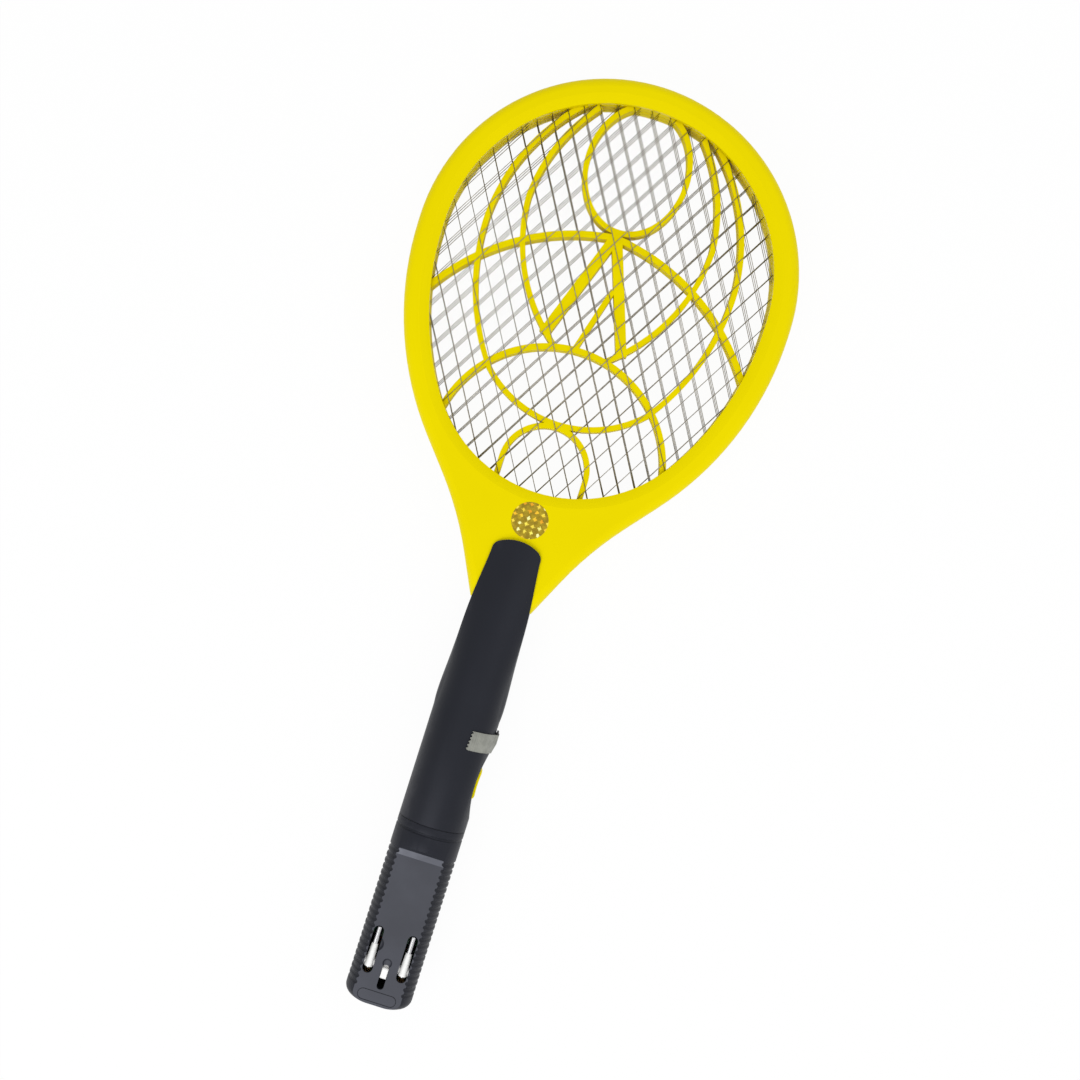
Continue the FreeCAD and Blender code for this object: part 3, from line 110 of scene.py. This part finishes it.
# ---------------------------------------------------------------- materials
class Shader:
    """A Principled material with short helpers for its nodes."""

    def __init__(self, name, colour, roughness, metallic=0.0):
        self.mat = bpy.data.materials.new(name)
        self.mat.use_nodes = True
        self.tree = self.mat.node_tree
        self.bsdf = self.tree.nodes["Principled BSDF"]
        self.bsdf.inputs["Base Color"].default_value = (*colour, 1.0)
        self.bsdf.inputs["Roughness"].default_value = roughness
        self.bsdf.inputs["Metallic"].default_value = metallic
        self.coords = self.node("ShaderNodeTexCoord").outputs["Object"]
        self.height = None

    def node(self, kind, **values):
        made = self.tree.nodes.new(kind)
        for key, value in values.items():
            setattr(made, key, value)
        return made

    def link(self, a, b):
        self.tree.links.new(a, b)

    def stretched(self, scale):
        """Object coordinates scaled apart along X, Y and Z."""
        mapping = self.node("ShaderNodeMapping")
        mapping.inputs["Scale"].default_value = scale
        self.link(self.coords, mapping.inputs["Vector"])
        return mapping.outputs["Vector"]

    def noise(self, scale, detail=3.0, rough=0.5, vector=None):
        made = self.node("ShaderNodeTexNoise")
        made.inputs["Scale"].default_value = scale
        made.inputs["Detail"].default_value = detail
        made.inputs["Roughness"].default_value = rough
        self.link(vector or self.coords, made.inputs["Vector"])
        return made.outputs["Fac"]

    def ramp(self, fac, stops):
        """Colour from (place, colour) stops."""
        made = self.node("ShaderNodeValToRGB")
        elements = made.color_ramp.elements
        while len(elements) < len(stops):
            elements.new(0.5)
        for element, (place, colour) in zip(elements, stops):
            element.position = place
            element.color = (*colour, 1.0)
        self.link(fac, made.inputs["Fac"])
        return made.outputs["Color"]

    def spread(self, fac, low, high, lo_in=0.0, hi_in=1.0):
        """Maps lo_in..hi_in to low..high and holds it there beyond."""
        made = self.node("ShaderNodeMapRange")
        made.inputs["From Min"].default_value = lo_in
        made.inputs["From Max"].default_value = hi_in
        made.inputs["To Min"].default_value = low
        made.inputs["To Max"].default_value = high
        self.link(fac, made.inputs["Value"])
        return made.outputs["Result"]

    def math(self, op, a, b=0.0):
        made = self.node("ShaderNodeMath", operation=op)
        for i, value in enumerate((a, b)):
            if isinstance(value, (int, float)):
                made.inputs[i].default_value = value
            else:
                self.link(value, made.inputs[i])
        return made.outputs["Value"]

    def mix(self, fac, a, b):
        """Colour a where fac is 0 and b where it is 1; each is a colour or an output."""
        made = self.node("ShaderNodeMix", data_type="RGBA")
        fac_socket, a_socket, b_socket, result = 0, 6, 7, 2
        self.link(fac, made.inputs[fac_socket])
        for socket, value in ((a_socket, a), (b_socket, b)):
            if isinstance(value, tuple):
                made.inputs[socket].default_value = (*value, 1.0)
            else:
                self.link(value, made.inputs[socket])
        return made.outputs[result]

    def axis(self, name):
        """One of the object coordinates, which are the frame's own at rest."""
        made = self.node("ShaderNodeSeparateXYZ")
        self.link(self.coords, made.inputs["Vector"])
        return made.outputs[name]

    def paint(self, colour):
        self.link(colour, self.bsdf.inputs["Base Color"])

    def rough(self, value):
        self.link(value, self.bsdf.inputs["Roughness"])

    def bump(self, height, strength, distance):
        """Adds a relief on top of those added before."""
        made = self.node("ShaderNodeBump")
        made.inputs["Strength"].default_value = strength
        made.inputs["Distance"].default_value = distance
        self.link(height, made.inputs["Height"])
        if self.height is not None:
            self.link(self.height, made.inputs["Normal"])
        self.height = made.outputs["Normal"]
        self.link(self.height, self.bsdf.inputs["Normal"])

    def shine(self, level, tint=(1.0, 1.0, 1.0)):
        self.bsdf.inputs["Specular IOR Level"].default_value = level
        self.bsdf.inputs["Specular Tint"].default_value = (*tint, 1.0)

    def edge_wear(self, amount):
        """0 on faces and up to amount on convex edges."""
        geometry = self.node("ShaderNodeNewGeometry")
        return self.spread(geometry.outputs["Pointiness"], 0.0, amount, 0.52, 0.62)

    def crease_shade(self, reach):
        """Painted shade mask: 0 in the open and up to 1 deep in grooves and corners, from ambient
        occlusion.
        """
        made = self.node("ShaderNodeAmbientOcclusion", samples=8, only_local=True)
        made.inputs["Distance"].default_value = reach
        return self.math("SUBTRACT", 1.0, made.outputs["AO"])

    def facing(self, name):
        """One component of the face's own direction."""
        geometry = self.node("ShaderNodeNewGeometry")
        split = self.node("ShaderNodeSeparateXYZ")
        self.link(geometry.outputs["True Normal"], split.inputs["Vector"])
        return split.outputs[name]

    def product(self, *factors):
        out = factors[0]
        for factor in factors[1:]:
            out = self.math("MULTIPLY", out, factor)
        return out


def yellow_plastic():
    """Glossy lemon moulding: a little cloudiness, soft orange-peel and painted amber shade in the creases.
    """
    s = Shader("yellow_plastic", (0.83, 0.69, 0.0), 0.36)
    cloud = s.ramp(s.noise(9.0, 4.0), [(0.30, (0.800, 0.660, 0.0)), (0.55, (0.83, 0.69, 0.0)),
                                       (0.75, (0.85, 0.715, 0.0))])
    # Painted shade: deep creases are darkened towards amber.
    s.paint(s.mix(s.spread(s.crease_shade(2.5 * MM), 0.0, 0.7, 0.25, 0.9), cloud, (0.60, 0.43, 0.0)))
    s.rough(s.spread(s.noise(160.0, 3.0), 0.32, 0.48))
    s.bump(s.noise(2600.0, 2.0), 0.10, 0.00008)
    s.bump(s.noise(38.0, 2.0), 0.05, 0.0006)
    s.shine(0.12, (1.0, 0.85, 0.10))
    return s.mat


def web_plastic():
    """The same yellow on the strands, duller and slightly mottled."""
    s = Shader("web_plastic", (0.81, 0.66, 0.0), 0.42)
    tone = s.ramp(s.noise(60.0, 3.0), [(0.3, (0.76, 0.610, 0.0)), (0.6, (0.81, 0.665, 0.0)),
                                       (0.8, (0.85, 0.70, 0.0))])
    s.paint(tone)
    s.rough(s.spread(s.noise(240.0), 0.42, 0.60))
    s.bump(s.noise(1500.0, 2.0), 0.15, 0.0001)
    s.shine(0.04, (1.0, 0.85, 0.10))
    return s.mat


def black_plastic():
    """Near-black handle plastic: fine spark texture, greyer plug panel, a painted highlight on the ramp and
    painted shade in the grooves.
    """
    s = Shader("black_plastic", (0.009, 0.010, 0.014), 0.45)
    y = s.axis("Y")
    z = s.axis("Z")
    up = s.facing("Z")
    low = s.math("GREATER_THAN", z, PANEL_Z - 0.8 * MM)
    high = s.math("LESS_THAN", z, PANEL_Z + 1.2 * MM)
    level = s.product(low, high)
    panel = s.product(level, s.spread(up, 0.0, 1.0, 0.93, 0.985),
                      s.math("LESS_THAN", y, BUTT_Y + PANEL_LENGTH))
    # Painted highlight: the ramp at the panel's upper end, which slopes toward the butt, is painted pale as
    # if lit.
    slope = s.spread(s.facing("Y"), 0.0, 1.0, -0.12, -0.22)
    ramp = s.product(level, slope, s.math("GREATER_THAN", up, 0.85),
                     s.math("GREATER_THAN", y, BUTT_Y + PANEL_LENGTH - RAMP_HIGHLIGHT_LENGTH))
    body = s.ramp(s.noise(14.0, 4.0), [(0.3, (0.0075, 0.0085, 0.012)), (0.7, (0.011, 0.012, 0.017))])
    grey = s.ramp(s.noise(40.0, 4.0), [(0.3, (0.058, 0.060, 0.071)), (0.7, (0.072, 0.075, 0.090))])
    # Tone of the painted highlight on the ramp.
    pale = s.ramp(s.noise(60.0, 3.0), [(0.3, (0.10, 0.104, 0.124)), (0.7, (0.19, 0.197, 0.23))])
    tone = s.mix(ramp, s.mix(panel, body, grey), pale)
    worn = s.product(s.edge_wear(0.30), s.spread(s.noise(120.0, 5.0), 0.0, 1.0, 0.4, 0.7))
    tone = s.mix(worn, tone, (0.06, 0.06, 0.07))
    # Painted shade: grooves and corners are darkened almost to black.
    s.paint(s.mix(s.spread(s.crease_shade(1.6 * MM), 0.0, 0.85, 0.15, 0.6), tone, (0.002, 0.002, 0.003)))
    smooth = s.spread(s.noise(26.0, 3.0), 0.38, 0.50)
    s.rough(s.mix(panel, smooth, (0.60, 0.60, 0.60)))
    s.bump(s.noise(3200.0, 2.0, 0.6), 0.20, 0.00012)
    s.shine(0.20, (0.85, 0.88, 1.0))
    return s.mat


def wire_steel():
    """Dull grid wire with brownish patches."""
    s = Shader("wire_steel", (0.30, 0.28, 0.25), 0.38, 0.9)
    tone = s.ramp(s.noise(420.0, 3.0), [(0.3, (0.16, 0.135, 0.10)), (0.6, (0.33, 0.31, 0.27)),
                                         (0.85, (0.46, 0.44, 0.40))])
    s.paint(tone)
    s.rough(s.spread(s.noise(900.0), 0.28, 0.55))
    s.bump(s.noise(3000.0, 2.0), 0.2, 0.00005)
    return s.mat


def screw_steel():
    """Plain bright screw heads."""
    s = Shader("screw_steel", (0.55, 0.55, 0.56), 0.3, 1.0)
    s.paint(s.ramp(s.noise(700.0, 3.0), [(0.3, (0.40, 0.40, 0.41)), (0.7, (0.62, 0.62, 0.63))]))
    s.rough(s.spread(s.noise(1500.0), 0.22, 0.42))
    return s.mat


def gold_foil():
    """Ochre foil with a square pattern of small broken flecks, pale yellow to orange."""
    s = Shader("gold_foil", (0.36, 0.24, 0.004), 0.36, 0.45)
    cells = s.node("ShaderNodeTexVoronoi", feature="F1", distance="MANHATTAN", voronoi_dimensions="2D")
    cells.inputs["Scale"].default_value = 1.0 / FLECK_PITCH
    cells.inputs["Randomness"].default_value = 0.14
    s.link(s.coords, cells.inputs["Vector"])
    pick = s.node("ShaderNodeSeparateColor")
    s.link(cells.outputs["Color"], pick.inputs["Color"])
    hue = s.math("ADD", s.spread(pick.outputs["Red"], 0.0, 0.55),
                 s.spread(s.noise(110.0, 1.0), 0.0, 0.45, 0.3, 0.7))
    bright = s.ramp(hue, [(0.15, (0.80, 0.36, 0.01)), (0.40, (0.90, 0.62, 0.03)),
                          (0.60, (0.92, 0.85, 0.12)), (0.85, (0.96, 0.95, 0.40))])
    base = s.ramp(s.noise(500.0, 2.0), [(0.35, (0.27, 0.18, 0.002)), (0.55, (0.36, 0.25, 0.004)),
                                        (0.72, (0.46, 0.33, 0.008))])
    edge = s.math("ADD", cells.outputs["Distance"], s.spread(s.noise(1400.0, 1.0), -0.14, 0.14, 0.25, 0.75))
    fleck = s.spread(edge, 1.0, 0.0, 0.25, 0.34)
    s.paint(s.mix(fleck, base, bright))
    s.rough(s.spread(pick.outputs["Green"], 0.26, 0.5))
    s.bump(cells.outputs["Distance"], 0.3, 0.0002)
    return s.mat


def woven_tape():
    """Grey cloth tape: crossed threads along and across the strip."""
    s = Shader("woven_tape", (0.33, 0.33, 0.29), 0.75)
    along = s.node("ShaderNodeTexWave", wave_type="BANDS", bands_direction="Y")
    along.inputs["Scale"].default_value = 620.0
    along.inputs["Distortion"].default_value = 0.6
    s.link(s.coords, along.inputs["Vector"])
    across = s.node("ShaderNodeTexWave", wave_type="BANDS", bands_direction="Z")
    across.inputs["Scale"].default_value = 520.0
    across.inputs["Distortion"].default_value = 0.6
    s.link(s.coords, across.inputs["Vector"])
    weave = s.math("MULTIPLY", along.outputs["Fac"], across.outputs["Fac"])
    cloth = s.ramp(s.noise(260.0, 4.0), [(0.3, (0.19, 0.195, 0.17)), (0.7, (0.28, 0.285, 0.25))])
    s.paint(s.mix(s.spread(weave, 0.0, 0.5), cloth, (0.37, 0.375, 0.345)))
    s.bump(weave, 0.5, 0.0002)
    s.bsdf.inputs["Sheen Weight"].default_value = 0.2
    return s.mat


def white_plastic():
    """Smooth white plug moulding."""
    s = Shader("white_plastic", (0.92, 0.92, 0.91), 0.34)
    s.paint(s.ramp(s.noise(120.0, 3.0), [(0.3, (0.90, 0.90, 0.885)), (0.7, (0.95, 0.95, 0.94))]))
    s.rough(s.spread(s.noise(420.0), 0.26, 0.40))
    s.bump(s.noise(1800.0), 0.1, 0.00006)
    return s.mat


def bright_chrome():
    """Plug pins with fine lines drawn along them."""
    s = Shader("bright_chrome", (0.55, 0.55, 0.56), 0.16, 1.0)
    lines = s.noise(900.0, 3.0, 0.5, s.stretched((1.0, 9.0, 1.0)))
    s.paint(s.ramp(lines, [(0.3, (0.40, 0.40, 0.41)), (0.7, (0.60, 0.60, 0.61))]))
    s.rough(s.spread(lines, 0.12, 0.24))
    return s.mat


def plain(name, dark, light, roughness, metallic=0.0, scale=300.0, bump=0.1):
    """A hidden piece's finish: two tones, varied gloss and a fine grain."""
    s = Shader(name, light, roughness, metallic)
    s.paint(s.ramp(s.noise(scale, 3.0), [(0.3, dark), (0.7, light)]))
    s.rough(s.spread(s.noise(scale * 3), roughness * 0.8, min(1.0, roughness * 1.25)))
    s.bump(s.noise(scale * 6), bump, 0.0001)
    return s.mat


def hidden_materials():
    return {
        "board_green": plain("board_green", (0.015, 0.10, 0.035), (0.03, 0.17, 0.06), 0.35),
        "ferrite": plain("ferrite", (0.035, 0.035, 0.04), (0.07, 0.07, 0.075), 0.6),
        "winding_copper": plain("winding_copper", (0.30, 0.11, 0.03), (0.55, 0.24, 0.08), 0.35, 0.8),
        "film_capacitor": plain("film_capacitor", (0.36, 0.08, 0.01), (0.52, 0.14, 0.02), 0.3),
        "component_black": plain("component_black", (0.012, 0.012, 0.012), (0.03, 0.03, 0.03), 0.4),
        "resistor_tan": plain("resistor_tan", (0.40, 0.27, 0.12), (0.52, 0.37, 0.19), 0.35),
        "can_blue": plain("can_blue", (0.02, 0.05, 0.18), (0.04, 0.09, 0.30), 0.3),
        "cell_sleeve": plain("cell_sleeve", (0.03, 0.16, 0.07), (0.06, 0.25, 0.12), 0.3),
        "nickel_strip": plain("nickel_strip", (0.45, 0.44, 0.40), (0.66, 0.64, 0.60), 0.3, 1.0),
        "lead_red": plain("lead_red", (0.30, 0.01, 0.01), (0.50, 0.03, 0.02), 0.45),
        "lead_grey": plain("lead_grey", (0.18, 0.18, 0.19), (0.30, 0.30, 0.31), 0.45),
        "spring_bronze": plain("spring_bronze", (0.45, 0.26, 0.10), (0.66, 0.42, 0.18), 0.28, 1.0),
        "switch_black": plain("switch_black", (0.018, 0.018, 0.020), (0.035, 0.035, 0.038), 0.45,
                              scale=500.0),
    }


MATERIALS = {
    "yellow_plastic": yellow_plastic(), "web_plastic": web_plastic(), "black_plastic": black_plastic(),
    "grid_steel": wire_steel(), "gold_foil": gold_foil(), "screw_steel": screw_steel(),
    "woven_tape": woven_tape(), "white_plastic": white_plastic(), "pin_metal": bright_chrome(),
}
MATERIALS.update(hidden_materials())
NODE_SLOTS = {row["node"]: row["material_slot"] for row in frame["record"]["subparts"]}


def dress(obj, material):
    obj.data.materials.clear()
    obj.data.materials.append(MATERIALS[material])


def soften(obj, width, segments=2):
    """Joins the split corners of a CAD mesh and rounds its sharp edges a little."""
    weld = obj.modifiers.new("weld", "WELD")
    weld.merge_threshold = WELD_REACH
    bevel = obj.modifiers.new("edges", "BEVEL")
    bevel.width = width
    bevel.segments = segments
    bevel.limit_method = "ANGLE"
    bevel.angle_limit = math.radians(35.0)
    bevel.use_clamp_overlap = True
    bevel.harden_normals = False


for node_name, node in NODES.items():
    dress(node, NODE_SLOTS[node_name])
for node_name in ("front_web", "rear_web"):
    dress(NODES[node_name], "web_plastic")
    soften(NODES[node_name], WEB_ROUND, segments=3)
for node_name in ("head_front_frame", "head_rear_frame"):
    soften(NODES[node_name], HEAD_ROUND)
for node_name in ("handle_cover", "handle_base", "trigger_button", "power_knob", "plug_carrier"):
    soften(NODES[node_name], HANDLE_ROUND)


# ---------------------------------------------------------------- pieces modelled here
def new_object(name, verts, faces):
    """A smooth-shaded mesh object in the scene."""
    mesh = bpy.data.meshes.new(name)
    mesh.from_pydata(verts, [], faces)
    mesh.update()
    mesh.polygons.foreach_set("use_smooth", [True] * len(mesh.polygons))
    obj = bpy.data.objects.new(name, mesh)
    bpy.context.scene.collection.objects.link(obj)
    return obj


def add_wire(verts, faces, a, b):
    """Appends one straight round wire from a to b."""
    along = (b - a).normalized()
    up = Vector((0, 0, 1))
    side = along.cross(up).normalized()
    near = len(verts)
    far = near + WIRE_SIDES
    for end in (a, b):
        for i in range(WIRE_SIDES):
            turn = 2 * math.pi * i / WIRE_SIDES
            verts.append(end + side * (WIRE_R * math.cos(turn)) + up * (WIRE_R * math.sin(turn)))
    for i in range(WIRE_SIDES):
        j = (i + 1) % WIRE_SIDES
        faces.append((near + i, near + j, far + j, far + i))
    faces.append(tuple(range(far - 1, near - 1, -1)))
    faces.append(tuple(range(far, far + WIRE_SIDES)))


def opening_reach(start, direction):
    """Distance from a point in the head's opening to the wall round it."""
    hit, place, _, _ = NODES["head_front_frame"].ray_cast(start, direction)
    return (place - start).length if hit else 0.0


def wire_grid(name, node, z, rise):
    """Two families of crossed round wires in place of one flat grid, the second higher by rise."""
    centre = Vector((0, (HEAD_HI.y + MESH_LO.y + GRID_TUCK) / 2, MESH_HI.z + GRID_LOOK_UP))
    verts, faces = [], []
    for lean in (-1, 1):
        angle = lean * GRID_ANGLE
        along = Vector((math.sin(angle), math.cos(angle), 0))
        across = Vector((math.cos(angle), -math.sin(angle), 0))
        height = z + (rise if lean > 0 else 0.0)
        for sense in (-1, 1):
            room = opening_reach(centre, across * sense)
            count = int(room / GRID_PITCH + 0.5)
            for k in range(count):
                start = centre + across * (sense * (k + 0.5) * GRID_PITCH)
                ends = []
                for way in (-1, 1):
                    reach = opening_reach(start, along * way) + WIRE_TUCK
                    end = start + along * (way * reach)
                    ends.append(Vector((end.x, end.y, height)))
                add_wire(verts, faces, *ends)
    grid = new_object(name, verts, faces)
    dress(grid, "grid_steel")
    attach(grid, "racket")
    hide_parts(node)


def tape_path(lift):
    """Line of the tape round the grip's side in (x, height over the middle plane), over the knob."""
    radius = GRIP_R + TAPE_GAP
    start = math.pi / 2 - TAPE_START
    foot = math.asin((KNOB_HALF + KNOB_FOOT) / radius)
    half = []
    for i in range(TAPE_ARC_STEPS + 1):
        turn = start + (foot - start) * i / TAPE_ARC_STEPS
        half.append((radius * math.cos(turn), radius * math.sin(turn)))
    half += [(GRIP_R + lift, KNOB_HALF), (GRIP_R + lift, 0.0)]
    return half + [(x, -z) for x, z in reversed(half[:-1])]


def point_along(path, share):
    """Point at this share of the length of a line of points."""
    left = share * sum(math.dist(p, q) for p, q in zip(path, path[1:]))
    for p, q in zip(path, path[1:]):
        length = math.dist(p, q)
        if left <= length:
            t = left / length
            return p[0] + (q[0] - p[0]) * t, p[1] + (q[1] - p[1]) * t
        left -= length
    return path[-1]


def cloth_tape():
    """Grey cloth tape torn off with a saw-toothed end, laid over the slide knob."""
    lo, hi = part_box("tape_strip")
    width = hi.y - lo.y
    full_lift = hi.x - GRIP_R - TAPE_THICK
    verts = []
    for r in range(TAPE_ROWS + 1):
        across = r / TAPE_ROWS
        path = tape_path(full_lift * min(1.0, max(TAPE_LEAST_LIFT, across * width / TAPE_CLIMB)))
        tooth = abs((across * TAPE_TEETH) % 1.0 - 0.5) * 2.0
        torn = TAPE_TOOTH * tooth + TAPE_SLANT * across + TAPE_FRAY * math.sin(r * 2.3)
        torn_share = torn / TAPE_LENGTH
        for c in range(TAPE_COLUMNS + 1):
            x, z = point_along(path, torn_share + (1.0 - torn_share) * c / TAPE_COLUMNS)
            spot = Vector((x, lo.y + width * across, MID_Z + z))
            if c == 0:
                spot.z += TAPE_FRAY
            if r == 0:
                spot.y += TAPE_FRAY * (math.sin(c * 1.9) + math.sin(c * 4.3) * 2 / 3)
            verts.append(spot)
    step = TAPE_COLUMNS + 1
    faces = [(r * step + c, r * step + c + 1, (r + 1) * step + c + 1, (r + 1) * step + c)
             for r in range(TAPE_ROWS) for c in range(TAPE_COLUMNS)]
    tape = new_object("cloth_tape", verts, faces)
    body = tape.modifiers.new("thickness", "SOLIDIFY")
    body.thickness = TAPE_THICK
    body.offset = 1.0
    dress(tape, "woven_tape")
    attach(tape, "racket")
    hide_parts("tape_strip")


wire_grid("front_grid_wires", "front_mesh", MESH_LO.z + WIRE_R, WIRE_RISE)
wire_grid("middle_grid_wires", "hv_mesh", MID_Z - WIRE_RISE / 2, WIRE_RISE)
wire_grid("rear_grid_wires", "rear_mesh", 2 * MID_Z - MESH_LO.z - WIRE_R, -WIRE_RISE)
cloth_tape()


# ---------------------------------------------------------------- stage, light, camera
def seen_directly(tree):
    """1 for the rays that show the background itself: camera, glossy and transmission rays."""
    path = tree.nodes.new("ShaderNodeLightPath")
    total = path.outputs["Is Camera Ray"]
    for name in ("Is Glossy Ray", "Is Transmission Ray"):
        larger = tree.nodes.new("ShaderNodeMath")
        larger.operation = "MAXIMUM"
        tree.links.new(total, larger.inputs[0])
        tree.links.new(path.outputs[name], larger.inputs[1])
        total = larger.outputs[0]
    return total


def make_stage():
    """White floor: it keeps a soft shadow, and the camera sees it close to white."""
    mat = bpy.data.materials.new("floor")
    mat.use_nodes = True
    tree = mat.node_tree
    tree.nodes.clear()
    out = tree.nodes.new("ShaderNodeOutputMaterial")
    lit = tree.nodes.new("ShaderNodeBsdfDiffuse")
    lit.inputs["Color"].default_value = (FLOOR_GREY, FLOOR_GREY, FLOOR_GREY, 1.0)
    white = tree.nodes.new("ShaderNodeEmission")
    white.inputs["Strength"].default_value = 1.0
    share = tree.nodes.new("ShaderNodeMath")
    share.operation = "MULTIPLY"
    share.inputs[1].default_value = FLOOR_WHITE
    tree.links.new(seen_directly(tree), share.inputs[0])
    mix = tree.nodes.new("ShaderNodeMixShader")
    tree.links.new(share.outputs[0], mix.inputs["Fac"])
    tree.links.new(lit.outputs[0], mix.inputs[1])
    tree.links.new(white.outputs[0], mix.inputs[2])
    tree.links.new(mix.outputs[0], out.inputs["Surface"])
    half = FLOOR_HALF
    mesh = bpy.data.meshes.new("floor")
    mesh.from_pydata([(-half, -half, 0), (half, -half, 0), (half, half, 0), (-half, half, 0)],
                     [], [(0, 1, 2, 3)])
    floor = bpy.data.objects.new("floor", mesh)
    mesh.materials.append(mat)
    floor.location.z = -FLOOR_GAP
    bpy.context.scene.collection.objects.link(floor)


def make_light():
    """Even world light, white where it is seen, and two large soft lamps aimed at the object."""
    world = bpy.data.worlds.new("world")
    bpy.context.scene.world = world
    world.use_nodes = True
    tree = world.node_tree
    back = tree.nodes["Background"]
    back.inputs["Color"].default_value = (1.0, 1.0, 1.0, 1)
    strength = tree.nodes.new("ShaderNodeMapRange")
    strength.inputs["To Min"].default_value = SKY_LIGHT
    strength.inputs["To Max"].default_value = 1.0
    tree.links.new(seen_directly(tree), strength.inputs["Value"])
    tree.links.new(strength.outputs["Result"], back.inputs["Strength"])
    for name, place, size, power in LAMPS:
        light = bpy.data.lights.new(name, "AREA")
        light.size = size
        light.energy = power
        lamp = bpy.data.objects.new(name, light)
        lamp.location = place
        lamp.rotation_euler = (-Vector(place)).to_track_quat("-Z", "Y").to_euler()
        bpy.context.scene.collection.objects.link(lamp)


def make_camera():
    """Looks straight down from close by, turned about the upright axis."""
    data = bpy.data.cameras.new("camera")
    cam = bpy.data.objects.new("camera", data)
    data.sensor_width = SENSOR
    data.lens = SENSOR * CAMERA_HEIGHT / VIEW_WIDTH
    cam.location = (*CAMERA_AT, MID_Z + CAMERA_HEIGHT)
    cam.rotation_euler = (0.0, 0.0, CAMERA_TURN)
    bpy.context.scene.collection.objects.link(cam)
    bpy.context.scene.camera = cam


make_stage()
make_light()
make_camera()
bpy.context.scene.view_settings.view_transform = "Standard"
